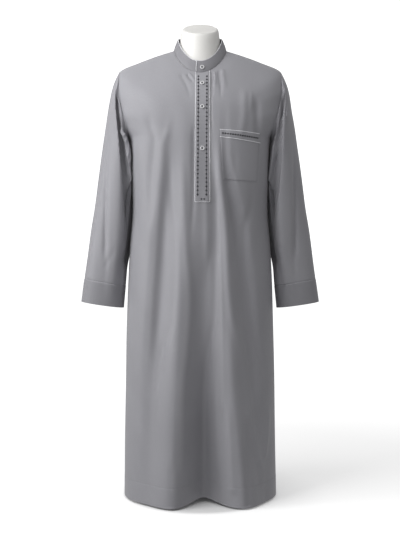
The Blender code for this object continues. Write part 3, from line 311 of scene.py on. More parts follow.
def front_at(x, z):
    """(point, normal) of the front at x and height z."""
    x, z = np.broadcast_arrays(np.asarray(x, float), np.asarray(z, float))
    shape = x.shape
    x, z = x.reshape(-1), z.reshape(-1)
    low, high = np.zeros(len(x)), np.full(len(x), T_HEM)
    for _ in range(36):
        mid = 0.5 * (low + high)
        above = skin(mid, front_angle(x, mid))[:, 2] > z
        low, high = np.where(above, mid, low), np.where(above, high, mid)
    t = 0.5 * (low + high)
    angle = front_angle(x, t)
    return skin(t, angle).reshape(shape + (3,)), skin_normal(t, angle).reshape(shape + (3,))


# ---------------------------------------------------------------- the sleeve's surface
SLEEVE_TABLE = np.array(list(SLEEVE.values()))
CUFF_STEP = len(SLEEVE) - 1


def armhole_point(psi):
    """Seam line on the wearer's left: (outer point, panel normal); psi 0 at the tip, 180 degrees at the underarm."""
    psi = np.mod(psi, 2 * np.pi)
    t = T_TIP + (T_UNDER - T_TIP) * (1 - np.cos(psi)) / 2
    front = psi <= np.pi
    turn = np.where(front, -armhole_angle(t, True), armhole_angle(t, False))
    return skin(t, turn), skin_normal(t, turn)


def body_side_x(y, z):
    """Half-width of the body at depth y and height z, below the underarm."""
    c = body_ring(t_at_side(np.minimum(z, BODY[BODY_UNDER][0])))
    b = np.where(y < 0, c["depth_front"], c["depth_back"])
    return c["half_width"] * np.maximum(1 - np.minimum(np.abs(y) / b, 1) ** c["square"], 0) ** (1 / c["square"])


def sleeve_skin(s, psi, folds=1.0):
    s, psi = np.broadcast_arrays(np.asarray(s, float), np.asarray(psi, float))
    shape = s.shape
    s, psi = s.reshape(-1), np.mod(psi.reshape(-1), 2 * np.pi)
    steps = np.arange(len(SLEEVE_TABLE))
    c = {name: curve(steps, SLEEVE_TABLE[:, k], s) for k, name in enumerate(SLEEVE_COLUMNS)}
    cp, sp = np.cos(psi), np.sin(psi)
    mx, mz = (c["x_out"] + c["x_in"]) / 2, (c["z_out"] + c["z_in"]) / 2
    rx, rz = (c["x_out"] - c["x_in"]) / 2, (c["z_out"] - c["z_in"]) / 2
    reach = np.hypot(rx, rz)
    x = mx + rx * cp + c["bow"] * sp * sp
    y = -c["half_depth"] * sp
    z = mz + rz * cp
    nx, ny, nz = cp / reach * rx / reach, -sp / c["half_depth"], cp / reach * rz / reach
    size = np.sqrt(nx * nx + ny * ny + nz * nz)
    turns, outs = [], []
    for angles, out in SLEEVE_FOLDS.values():
        turns.append(np.radians(curve(SLEEVE_STEPS, angles, s)))
        outs.append(curve(SLEEVE_STEPS, out, s))
    zero = np.zeros(len(s))
    turns = np.stack([zero - 1e-3] + turns[:6] + [zero + np.pi] + turns[6:] + [zero + 2 * np.pi + 1e-3], 1)
    outs = np.stack([zero] + outs[:6] + [zero] + outs[6:] + [zero], 1)
    out = folds * curve(turns, outs, psi, flat_ends=True)
    head, _ = armhole_point(psi)
    w = soft_step(s / SLEEVE_BLEND)[:, None]
    p = np.stack([x, y, z], -1) * w + head * (1 - w)
    p = p + (out / size)[:, None] * np.stack([nx, ny, nz], -1)
    # beside the body the sleeve lies flat along it, with a small gap
    gap = 0.0004 + (CLEAR_BODY - 0.0004) * soft_step(s / 1.2)
    wall = body_side_x(p[:, 1], p[:, 2]) + gap
    lean = 0.0016 * soft_step(s / 1.2)
    pressed = 0.5 * (p[:, 0] + wall + np.sqrt((p[:, 0] - wall) ** 2 + lean ** 2))
    p[:, 0] = np.where(s > 0, pressed, p[:, 0])
    return p.reshape(shape + (3,))


def sleeve_normal(s, psi, folds=1.0):
    e = 1e-3
    s, psi = np.broadcast_arrays(np.asarray(s, float), np.asarray(psi, float))
    s0, s1 = np.clip(s - e, 0.001, CUFF_STEP), np.clip(s + e, 0.001, CUFF_STEP)
    along = sleeve_skin(s1, psi, folds) - sleeve_skin(s0, psi, folds)
    turn = sleeve_skin(s, psi + e, folds) - sleeve_skin(s, psi - e, folds)
    n = unit(np.cross(turn, along))
    _, seam = armhole_point(psi.reshape(-1))
    # over the shoulder the sleeve head shares the panels' normals; under the arm the seam is a fold
    share = ((1 + np.cos(psi)) / 2) ** 1.5 * (1 - soft_step(s / 0.6))
    return unit(n * (1 - share[..., None]) + seam.reshape(n.shape) * share[..., None])


# ---------------------------------------------------------------- the collar's surface
def collar_skin(v, angle):
    """Outer face of the collar: v 0 at the neck seam, 1 at its top."""
    v, angle = np.broadcast_arrays(np.asarray(v, float), np.asarray(angle, float))
    foot = dict(zip(BODY_COLUMNS, BODY["neck_seam"]))
    top = dict(zip(BODY_COLUMNS, COLLAR_TOP))
    c = {k: foot[k] + (top[k] - foot[k]) * v for k in foot}
    ca, sa = np.cos(angle), np.sin(angle)
    front = sa <= 0
    b = np.where(front, c["depth_front"], c["depth_back"]) + COLLAR_BULGE * np.sin(np.pi * v)
    a = c["half_width"] + COLLAR_BULGE * np.sin(np.pi * v)
    z_far = np.where(front, c["z_front"], c["z_back"])
    r = 1 / np.sqrt((ca / a) ** 2 + (sa / b) ** 2)
    x, y = r * ca, r * sa
    z = c["z_side"] + (z_far - c["z_side"]) * (np.abs(y) / b) ** c["dip"]
    return np.stack([x, y, z], -1)


def collar_normal(v, angle):
    e = 1e-4
    v, angle = np.broadcast_arrays(np.asarray(v, float), np.asarray(angle, float))
    up = collar_skin(v + e, angle) - collar_skin(v - e, angle)
    turn = collar_skin(v, angle + e) - collar_skin(v, angle - e)
    return unit(np.cross(turn, up))


def collar_path(q):
    """(angle, inward shift) along the wrapped band: q 0 at the under end, 1 at the lapping end."""
    b = BODY["neck_seam"][4]
    start = -np.pi / 2 + COLLAR_UNDER_X / b
    end = -np.pi / 2 - 2 * np.pi + COLLAR_OVER_X / b
    angle = start + (end - start) * np.asarray(q, float)
    under = 1 - soft_step((start - angle) / np.radians(75))
    return angle, under * (COLLAR_WALL + COLLAR_LAP)



# ================================================================ fine looks
CLEAR_BODY = 0.0020      # the shown cloth lies closer to the body than the solids can

# The same shapes read from close tables, so that the fine meshes are quick to make.
RING_T = np.linspace(0, T_HEM, 5001)
RING_ROWS = body_ring(RING_T)
FOLD_Z = np.linspace(0.0, FOLD_TOP_Z, 1501)
SEAM_TURN = np.linspace(0, 2 * np.pi, 1441)


def body_ring(t):
    return {name: np.interp(t, RING_T, row) for name, row in RING_ROWS.items()}


def fold_lines(folds):
    heights = np.array((FOLD_TOP_Z,) + FOLD_HEIGHTS)[::-1]
    return [(curve(heights, np.array((xs[0],) + xs)[::-1], FOLD_Z), curve(heights, np.array((0.0,) + outs)[::-1], FOLD_Z)) for xs, outs in folds.values()]


FOLD_ROWS = {"front": fold_lines(FRONT_FOLDS), "back": fold_lines(BACK_FOLDS)}


def fold_offset(folds, x, z, half_width):
    rows = FOLD_ROWS["front" if folds is FRONT_FOLDS else "back"]
    edge, zero = 0.93 * half_width, np.zeros(len(x))
    lines_x = [-edge] + [np.interp(z, FOLD_Z, a) for a, _ in rows] + [edge]
    lines_h = [zero] + [np.interp(z, FOLD_Z, h) for _, h in rows] + [zero]
    return curve(np.stack(lines_x, 1), np.stack(lines_h, 1), x, flat_ends=True)


SEAM_POINTS, SEAM_NORMALS = armhole_point(SEAM_TURN[:-1])
SEAM_POINTS, SEAM_NORMALS = np.concatenate([SEAM_POINTS, SEAM_POINTS[:1]]), np.concatenate([SEAM_NORMALS, SEAM_NORMALS[:1]])


def armhole_point(psi):
    psi = np.mod(psi, 2 * np.pi)
    return (np.stack([np.interp(psi, SEAM_TURN, SEAM_POINTS[:, k]) for k in range(3)], -1),
            np.stack([np.interp(psi, SEAM_TURN, SEAM_NORMALS[:, k]) for k in range(3)], -1))


SIDE_Z = np.linspace(0.0, BODY[BODY_UNDER][0], 1501)
SIDE_T = t_at_side(SIDE_Z)


def t_at_side(z):
    return np.interp(z, SIDE_Z, SIDE_T)

# ---------------------------------------------------------------- creases laid one by one
# Each crease: points (x, z) down it as seen from the front (or from behind, still in x), half-width,
# height (+ ridge, - trough), and how its ends fade (share of its length at the start, at the end).
CREASE_DEPTH = 1.7       # share by which the body's creases are deepened
FRONT_CREASES = [
    # left of the placket, left to right
    ([(-0.157, 1.157), (-0.145, 1.113), (-0.134, 1.070), (-0.139, 1.012), (-0.145, 0.953), (-0.150, 0.840), (-0.156, 0.780)], 0.011, -0.0018, 0.12, 0.25),
    ([(-0.087, 1.160), (-0.092, 1.100), (-0.107, 1.060), (-0.112, 0.990), (-0.120, 0.870), (-0.126, 0.780), (-0.138, 0.620), (-0.147, 0.460), (-0.160, 0.330)], 0.011, 0.0016, 0.12, 0.25),
    ([(-0.086, 1.075), (-0.088, 1.010), (-0.086, 0.920), (-0.076, 0.830), (-0.075, 0.700), (-0.083, 0.545), (-0.113, 0.440), (-0.122, 0.330), (-0.128, 0.190)], 0.010, -0.0015, 0.15, 0.25),
    ([(-0.058, 1.060), (-0.052, 0.960), (-0.045, 0.840), (-0.040, 0.740), (-0.030, 0.620), (-0.038, 0.470), (-0.050, 0.330), (-0.052, 0.120), (-0.040, 0.050)], 0.012, 0.0021, 0.15, 0.10),
    ([(-0.018, 1.125), (-0.0185, 1.040), (-0.019, 0.930), (-0.022, 0.850), (-0.028, 0.770)], 0.0070, -0.0017, 0.15, 0.35),
    ([(-0.080, 0.150), (-0.082, 0.080), (-0.082, 0.010)], 0.010, -0.0011, 0.35, 0.0),
    # right of the placket
    ([(0.031, 1.240), (0.031, 1.160), (0.034, 1.080)], 0.0042, -0.0010, 0.10, 0.30),
    ([(0.036, 1.090), (0.042, 0.990), (0.047, 0.900), (0.047, 0.800), (0.043, 0.680), (0.040, 0.560), (0.024, 0.460), (0.013, 0.330), (0.012, 0.120), (0.012, 0.030)], 0.011, -0.0030, 0.20, 0.20),
    ([(0.012, 0.960), (0.018, 0.880), (0.019, 0.780), (0.017, 0.680)], 0.010, 0.0015, 0.30, 0.35),
    ([(0.056, 1.130), (0.053, 1.060), (0.056, 0.960), (0.072, 0.880), (0.077, 0.780), (0.080, 0.660), (0.094, 0.545), (0.122, 0.460), (0.137, 0.360), (0.157, 0.230), (0.183, 0.090), (0.188, 0.020)], 0.011, 0.0021, 0.15, 0.08),
    ([(0.046, 0.400), (0.048, 0.300), (0.046, 0.190), (0.042, 0.100)], 0.010, 0.0010, 0.30, 0.30),
    ([(0.078, 0.330), (0.084, 0.230), (0.090, 0.120), (0.094, 0.040)], 0.010, 0.0021, 0.30, 0.05),
    ([(0.137, 0.280), (0.136, 0.190), (0.140, 0.100), (0.141, 0.010)], 0.010, -0.0023, 0.30, 0.0),
    ([(0.048, 1.011), (0.053, 0.895), (0.059, 0.735), (0.064, 0.604), (0.069, 0.313), (0.076, 0.226)], 0.0045, 0.0008, 0.10, 0.10),
    ([(0.131, 0.300), (0.150, 0.215), (0.177, 0.105)], 0.0070, 0.0022, 0.20, 0.15),
    ([(0.205, 0.290), (0.199, 0.200), (0.187, 0.120)], 0.0070, 0.0022, 0.20, 0.15),
    # over and beside the pocket
    ([(0.130, 1.230), (0.129, 1.160), (0.124, 1.110), (0.112, 1.060)], 0.012, 0.0018, 0.25, 0.30),
    ([(0.164, 1.210), (0.167, 1.150), (0.168, 1.110), (0.178, 1.060)], 0.010, -0.0026, 0.30, 0.25),
    ([(0.150, 1.225), (0.149, 1.180), (0.146, 1.140)], 0.006, 0.0010, 0.40, 0.40),
    ([(0.112, 1.000), (0.150, 0.952), (0.152, 0.890), (0.128, 0.800), (0.129, 0.700), (0.142, 0.620), (0.154, 0.520), (0.186, 0.380), (0.187, 0.260)], 0.011, -0.0019, 0.30, 0.25),
    # gathers below the collar
    ([(-0.040, 1.266), (-0.028, 1.252), (-0.018, 1.236)], 0.0040, -0.0014, 0.15, 0.40),
    ([(-0.034, 1.270), (-0.022, 1.255), (-0.016, 1.244)], 0.0030, 0.0010, 0.15, 0.40),
    ([(-0.062, 1.270), (-0.046, 1.245), (-0.034, 1.215), (-0.026, 1.180)], 0.0060, -0.0011, 0.15, 0.50),
    ([(0.035, 1.275), (0.036, 1.245), (0.036, 1.215), (0.037, 1.180)], 0.0038, -0.0011, 0.10, 0.50),
    ([(0.044, 1.275), (0.044, 1.245), (0.042, 1.215)], 0.0040, 0.0011, 0.10, 0.50),
    ([(0.056, 1.283), (0.057, 1.255), (0.060, 1.220), (0.060, 1.180)], 0.0045, -0.0012, 0.10, 0.50),
    ([(0.066, 1.285), (0.070, 1.250), (0.076, 1.210)], 0.0060, 0.0009, 0.10, 0.50),
]
BACK_CREASES = [
    ([(-0.060, 1.330), (-0.075, 1.220), (-0.086, 1.100), (-0.092, 0.960)], 0.014, -0.0018, 0.20, 0.40),
    ([(-0.030, 1.220), (-0.034, 1.060), (-0.040, 0.900), (-0.046, 0.740)], 0.013, 0.0016, 0.30, 0.30),
    ([(0.022, 1.180), (0.020, 1.020), (0.018, 0.860), (0.016, 0.640), (0.018, 0.420)], 0.012, -0.0019, 0.25, 0.30),
    ([(0.070, 1.310), (0.082, 1.180), (0.086, 1.060), (0.084, 0.920)], 0.014, -0.0017, 0.20, 0.40),
    ([(0.110, 1.080), (0.118, 0.940), (0.124, 0.780), (0.132, 0.600)], 0.012, 0.0016, 0.30, 0.30),
    ([(-0.128, 1.060), (-0.134, 0.900), (-0.138, 0.720), (-0.146, 0.520), (-0.152, 0.300)], 0.012, -0.0018, 0.30, 0.30),
    ([(-0.084, 0.620), (-0.090, 0.460), (-0.094, 0.280), (-0.098, 0.060)], 0.011, 0.0018, 0.30, 0.10),
    ([(0.052, 0.560), (0.058, 0.380), (0.066, 0.200), (0.070, 0.040)], 0.011, -0.0018, 0.30, 0.10),
    ([(0.150, 0.480), (0.156, 0.320), (0.162, 0.120), (0.164, 0.030)], 0.010, 0.0016, 0.30, 0.10),
    ([(-0.010, 0.460), (-0.006, 0.300), (-0.002, 0.140), (0.002, 0.030)], 0.010, 0.0012, 0.30, 0.10),
]
# The same on the sleeves, as (degrees round from the outer side through the front, section).
SLEEVE_CREASES = [
    ([(50, 1.0), (79, 2.0), (84, 3.0), (88, 4.0), (93, 5.0), (97, 6.0), (99, 7.0), (101, 8.0)], 5.0, 0.0022, 0.10, 0.30),
    ([(146, 5.6), (144, 6.3), (144, 7.0), (147, 8.0), (156, 9.0), (166, 10.0), (168, 10.8)], 22.0, -0.0190, 0.12, 0.20),
    ([(42, 5.0), (44, 6.0), (50, 7.0), (60, 8.0), (71, 9.0), (86, 10.0)], 6.0, -0.0045, 0.20, 0.25),
    ([(270, 1.2), (256, 2.4), (246, 4.0), (238, 5.6), (230, 7.0)], 6.0, -0.0022, 0.20, 0.30),
    ([(292, 2.0), (280, 3.4), (270, 5.0), (262, 6.6)], 6.0, 0.0018, 0.25, 0.30),
    ([(322, 6.4), (306, 7.6), (296, 8.8), (288, 10.2)], 6.0, -0.0016, 0.30, 0.30),
    ([(110, 9.2), (96, 9.8), (80, 10.3)], 6.0, -0.0012, 0.30, 0.30),
]
RIGHT_CREASES = [
    ([(66, 1.0), (92, 2.0), (96, 3.0), (100, 4.0), (106, 5.0), (112, 6.0), (119, 7.0), (126, 8.0), (131, 9.0)], 5.5, -0.0120, 0.08, 0.35),
    ([(112, 1.6), (123, 2.4), (126, 3.0), (127, 4.0), (131, 5.0)], 6.0, 0.0100, 0.25, 0.25),
]
LEFT_CREASES = [
    ([(60, 1.0), (84, 2.0), (87, 3.0), (91, 4.0), (96, 5.0), (102, 6.0), (112, 7.0), (121, 8.0)], 6.5, -0.0125, 0.08, 0.35),
    ([(94, 1.6), (103, 2.4), (106, 3.2), (109, 4.0), (114, 5.0)], 7.0, 0.0095, 0.25, 0.30),
]


def smooth_path(points, count=24):
    points = np.array(points, float)
    if len(points) == 2:
        s = np.linspace(0, 1, count)[:, None]
        return points[0] * (1 - s) + points[1] * s
    d = np.concatenate([[0], np.cumsum(np.linalg.norm(np.diff(points, axis=0), axis=1))])
    s = np.linspace(0, d[-1], count)
    return np.stack([curve(d, points[:, k], s) for k in range(points.shape[1])], 1)


def crease_height(creases, a, b, b_scale=1.0):
    """Height of all creases at surface coordinates (a, b)."""
    out = np.zeros(a.shape)
    for points, width, height, start, end in creases:
        path = smooth_path(points)
        path[:, 1] *= b_scale
        lo, hi = path.min(0) - 3 * width, path.max(0) + 3 * width
        bb = b * b_scale
        near = (a > lo[0]) & (a < hi[0]) & (bb > lo[1]) & (bb < hi[1])
        if not near.any():
            continue
        q = np.stack([a[near], bb[near]], -1)
        seg, step = path[:-1], np.diff(path, axis=0)
        length = (step ** 2).sum(1)
        along = np.clip(((q[:, None, :] - seg) * step).sum(-1) / length, 0, 1)
        gap = np.linalg.norm(q[:, None, :] - (seg + along[..., None] * step), axis=-1)
        best = gap.argmin(1)
        r = np.arange(len(q))
        share = (best + along[r, best]) / len(seg)
        fade = soft_step(share / max(start, 1e-3)) * soft_step((1 - share) / max(end, 1e-3))
        out[near] += height * np.exp(-(gap[r, best] / width) ** 2) * fade
    return out


def wander(a, b, amount, size, seed):
    """Slow unevenness of hanging cloth: a fixed sum of waves."""
    out = np.zeros(a.shape)
    for k in range(5):
        turn = seed + 2.399 * k
        pitch = size * (0.6 + 0.27 * k)
        out += np.sin(2 * np.pi * (a * math.cos(turn) + 0.45 * b * math.sin(turn)) / pitch + 1.7 * k + seed) / (1 + 0.4 * k)
    return amount * out / 2.2


def front_detail(p):
    x, z = p[..., 0], p[..., 2]
    h = CREASE_DEPTH * crease_height(FRONT_CREASES, x, z)
    calm = np.exp(-((x - 0.0064) / 0.030) ** 2) * soft_step((z - 0.86) / 0.05)
    h += wander(x, z, 0.0006, 0.11, 0.4) * soft_step((1.30 - z) / 0.10) * (1 - 0.8 * calm)
    return h


def back_detail(p):
    x, z = p[..., 0], p[..., 2]
    return CREASE_DEPTH * crease_height(BACK_CREASES, x, z) + wander(x, z, 0.0007, 0.12, 2.1) * soft_step((1.30 - z) / 0.10)


LOOK_T = np.linspace(0, T_HEM, 500)
LOOK_X = np.linspace(-0.20, 0.20, 161)
LOOK_Z = skin(LOOK_T[:, None], front_angle(np.tile(LOOK_X, (500, 1)).ravel(), np.repeat(LOOK_T, 161)).reshape(500, 161))[..., 2]


def front_place(x, z):
    """The same as front_at, but quick: looked up first, then corrected."""
    x, z = np.broadcast_arrays(np.asarray(x, float), np.asarray(z, float))
    shape = x.shape
    x, z = x.reshape(-1), z.reshape(-1)
    at = np.clip((x - LOOK_X[0]) / (LOOK_X[1] - LOOK_X[0]), 0, 159.999)
    i, w = at.astype(int), at % 1
    t = np.zeros(len(x))
    for k in range(0, len(x), 4000):
        q = slice(k, k + 4000)
        zs = LOOK_Z[:, i[q]] * (1 - w[q]) + LOOK_Z[:, i[q] + 1] * w[q]
        j = np.clip((zs > z[q]).sum(0) - 1, 0, 498)
        r = np.arange(len(j))
        t[q] = LOOK_T[j] + (zs[j, r] - z[q]) / np.maximum(zs[j, r] - zs[j + 1, r], 1e-9) * (LOOK_T[1] - LOOK_T[0])
    t = np.clip(t, 0, T_HEM)
    for _ in range(2):
        e = 1e-3
        z0 = skin(t, front_angle(x, t))[:, 2]
        z1 = skin(np.minimum(t + e, T_HEM), front_angle(x, np.minimum(t + e, T_HEM)))[:, 2]
        slope = np.minimum((z1 - z0) / e, -0.05)
        t = np.clip(t + (z - z0) / slope, 0, T_HEM)
    angle = front_angle(x, t)
    return skin(t, angle).reshape(shape + (3,)), skin_normal(t, angle).reshape(shape + (3,))


def front_fine(x, z):
    """(point, normal) of the finished front at x and height z."""
    p, n = front_place(x, z)
    return p + front_detail(p)[..., None] * n, n


# ---------------------------------------------------------------- mesh makers
def cloth_uv(p):
    across = np.linalg.norm(np.diff(p, axis=1), axis=-1)
    down = np.linalg.norm(np.diff(p, axis=0), axis=-1)
    u = np.concatenate([np.zeros((p.shape[0], 1)), np.cumsum(across, 1)], 1)
    u -= u[:, u.shape[1] // 2][:, None]
    v = np.concatenate([np.zeros((1, p.shape[1])), np.cumsum(down, 0)], 0)
    return np.stack([u, -v], -1)


def new_object(name, verts, faces, mat, uv=None, shade_tone=None, smooth=True, sharp=50):
    mesh = bpy.data.meshes.new(name)
    mesh.from_pydata(np.asarray(verts, float).tolist(), [], [list(map(int, f)) for f in faces] if not isinstance(faces, np.ndarray) else faces.tolist())
    if uv is not None:
        layer = mesh.uv_layers.new(name="cloth")
        index = np.zeros(len(mesh.loops), np.int32)
        mesh.loops.foreach_get("vertex_index", index)
        layer.data.foreach_set("uv", np.asarray(uv, np.float32)[index].ravel())
    if shade_tone is not None:
        attr = mesh.attributes.new("shade_tone", "FLOAT", "POINT")
        attr.data.foreach_set("value", np.asarray(shade_tone, np.float32).ravel())
    mesh.materials.append(mat)
    if smooth:
        mesh.shade_smooth()
        mesh.set_sharp_from_angle(angle=math.radians(sharp))
    mesh.update()
    obj = bpy.data.objects.new(name, mesh)
    bpy.context.scene.collection.objects.link(obj)
    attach(obj, "root")
    return obj


def shell(name, outer, inner, mat, round_=False, shade_tone=None, flip=1.0):
    """A thin closed sheet between two grids of points, in quads."""
    rows, cols = outer.shape[:2]
    uv = cloth_uv(outer)
    index = np.arange(rows * cols).reshape(rows, cols)
    after = np.roll(index, -1, 1) if round_ else index[:, 1:]
    here = index if round_ else index[:, :-1]
    quads = np.stack([here[:-1], here[1:], after[1:], after[:-1]], -1).reshape(-1, 4)
    n = rows * cols
    rims = []
    top = np.stack([here[0], after[0], after[0] + n, here[0] + n], -1)
    foot = np.stack([after[-1], here[-1], here[-1] + n, after[-1] + n], -1)
    rims += [top, foot]
    if not round_:
        left, right = index[:, 0], index[:, -1]
        rims.append(np.stack([left[1:], left[:-1], left[:-1] + n, left[1:] + n], -1))
        rims.append(np.stack([right[:-1], right[1:], right[1:] + n, right[:-1] + n], -1))
    faces = np.concatenate([quads, quads[:, ::-1] + n] + rims)
    verts = np.concatenate([outer.reshape(-1, 3), inner.reshape(-1, 3)])
    # faces point out of the sheet: from inner towards outer on the outer side
    a, b, c, _ = verts[quads[len(quads) // 3]]
    facing = np.cross(b - a, c - a) @ (verts[quads[len(quads) // 3][0]] - verts[quads[len(quads) // 3][0] + n])
    if facing < 0:
        faces = faces[:, ::-1]
    if shade_tone is None:
        shade_tone = np.ones((rows, cols))
    shade_tone = np.concatenate([shade_tone.ravel(), shade_tone.ravel()])
    uv = np.concatenate([uv.reshape(-1, 2), uv.reshape(-1, 2)])
    return new_object(name, verts, faces, mat, uv, shade_tone)


def loft(name, rings, mat, caps=True, sharp=50, uv=False):
    """Skins a list of closed rings of points (K rings of M points)."""
    rings = np.asarray(rings, float)
    k, m = rings.shape[:2]
    index = np.arange(k * m).reshape(k, m)
    after = np.roll(index, -1, 1)
    faces = np.stack([index[:-1], index[1:], after[1:], after[:-1]], -1).reshape(-1, 4).tolist()
    if caps:
        faces.append(index[0].tolist())
        faces.append(index[-1][::-1].tolist())
    verts = rings.reshape(-1, 3)
    total = 0.0
    arr = np.array([f for f in faces if len(f) == 4])
    p = verts[arr] - verts.mean(0)
    total += np.einsum("ij,ij->", p[:, 0], np.cross(p[:, 1], p[:, 2])) + np.einsum("ij,ij->", p[:, 0], np.cross(p[:, 2], p[:, 3]))
    if total < 0:
        faces = [f[::-1] for f in faces]
    uvs = cloth_uv(rings).reshape(-1, 2) if uv else None
    return new_object(name, verts, faces, mat, uvs, np.ones(len(verts)) if uv else None, True, sharp)


def tube(name, centre, normal, radius, mat, sides=10, squash=1.0, twist=None):
    """A cord along a line of points, flattened towards the surface it lies on."""
    centre, normal = np.asarray(centre, float), unit(np.asarray(normal, float))
    along = unit(np.gradient(centre, axis=0))
    side = unit(np.cross(along, normal))
    up = np.cross(side, along)
    angle = 2 * np.pi * np.arange(sides) / sides
    r = np.broadcast_to(np.asarray(radius, float), (len(centre),))
    rings = (centre[:, None, :] + r[:, None, None] * (np.cos(angle)[None, :, None] * side[:, None, :]
             + squash * np.sin(angle)[None, :, None] * up[:, None, :]))
    # the ends are drawn in, so that a cord doesn't stop in a flat disc
    first = centre[0] + (rings[0] - centre[0]) * 0.55 - along[0] * radius_of(r[0])
    last = centre[-1] + (rings[-1] - centre[-1]) * 0.55 + along[-1] * radius_of(r[-1])
    rings = np.concatenate([first[None], rings, last[None]])
    return loft(name, rings, mat, uv=True)


def radius_of(r):
    return 0.45 * float(r)


def capsules(name, starts, ends, normals, radius, mat, sides=5):
    """Many short threads in one mesh: each runs from a start to an end, bowed up a little off the cloth."""
    starts, ends, normals = (np.asarray(v, float) for v in (starts, ends, normals))
    radius = np.broadcast_to(np.asarray(radius, float), (len(starts),))
    along = unit(ends - starts)
    side = unit(np.cross(along, normals))
    up = np.cross(side, along)
    shares, thick, rise = (0.0, 0.16, 0.5, 0.84, 1.0), (0.35, 0.85, 1.0, 0.85, 0.35), (-0.7, 0.2, 0.6, 0.2, -0.7)
    angle = 2 * np.pi * np.arange(sides) / sides
    verts = []
    for s, w, h in zip(shares, thick, rise):
        c = starts + (ends - starts) * s + up * (radius * h)[:, None]
        ring = c[:, None, :] + (radius * w)[:, None, None] * (np.cos(angle)[None, :, None] * side[:, None, :] + np.sin(angle)[None, :, None] * up[:, None, :])
        verts.append(ring)
    verts = np.stack(verts, 1)                     # thread, ring, side, xyz
    count, k = len(starts), len(shares)
    base = (np.arange(count) * k * sides)[:, None]
    faces = []
    for i in range(k - 1):
        for j in range(sides):
            m = (j + 1) % sides
            faces.append(base + np.array([[i * sides + j, i * sides + m, (i + 1) * sides + m, (i + 1) * sides + j]]))
    quads = np.concatenate(faces)
    caps = [(base[:, 0, None] + np.arange(sides)[::-1]), (base[:, 0, None] + (k - 1) * sides + np.arange(sides))]
    verts = verts.reshape(-1, 3)
    all_faces = quads.tolist() + caps[0].tolist() + caps[1].tolist()
    q = quads[0]
    p = verts[q]
    middle = verts[:k * sides].mean(0)
    if np.cross(p[1] - p[0], p[2] - p[0]) @ (p.mean(0) - middle) < 0:
        all_faces = [f[::-1] for f in all_faces]
    return new_object(name, verts, all_faces, mat, None, None, True, 80)


def walk(points, normals, pitch, start=0.0):
    """Evenly spaced places along a dense line: (points, normals, tangents)."""
    points, normals = np.asarray(points, float), np.asarray(normals, float)
    d = np.concatenate([[0], np.cumsum(np.linalg.norm(np.diff(points, axis=0), axis=1))])
    s = np.arange(start + pitch / 2, d[-1] - pitch / 4, pitch)
    p = np.stack([np.interp(s, d, points[:, k]) for k in range(3)], 1)
    n = unit(np.stack([np.interp(s, d, normals[:, k]) for k in range(3)], 1))
    e = pitch * 0.3
    ahead = np.stack([np.interp(s + e, d, points[:, k]) for k in range(3)], 1)
    behind = np.stack([np.interp(s - e, d, points[:, k]) for k in range(3)], 1)
    return p, n, unit(ahead - behind)


def stitches(name, lines, mat, pitch=0.0032, length=0.0023, radius=0.00028, lift=0.0001):
    starts, ends, normals = [], [], []
    for points, norms in lines:
        p, n, t = walk(points, norms, pitch)
        starts.append(p - t * length / 2 + n * lift)
        ends.append(p + t * length / 2 + n * lift)
        normals.append(n)
    return capsules(name, np.concatenate(starts), np.concatenate(ends), np.concatenate(normals), radius, mat)


# ---------------------------------------------------------------- materials
def nodes_of(mat):
    mat.use_nodes = True
    tree = mat.node_tree
    return tree, tree.nodes["Principled BSDF"]


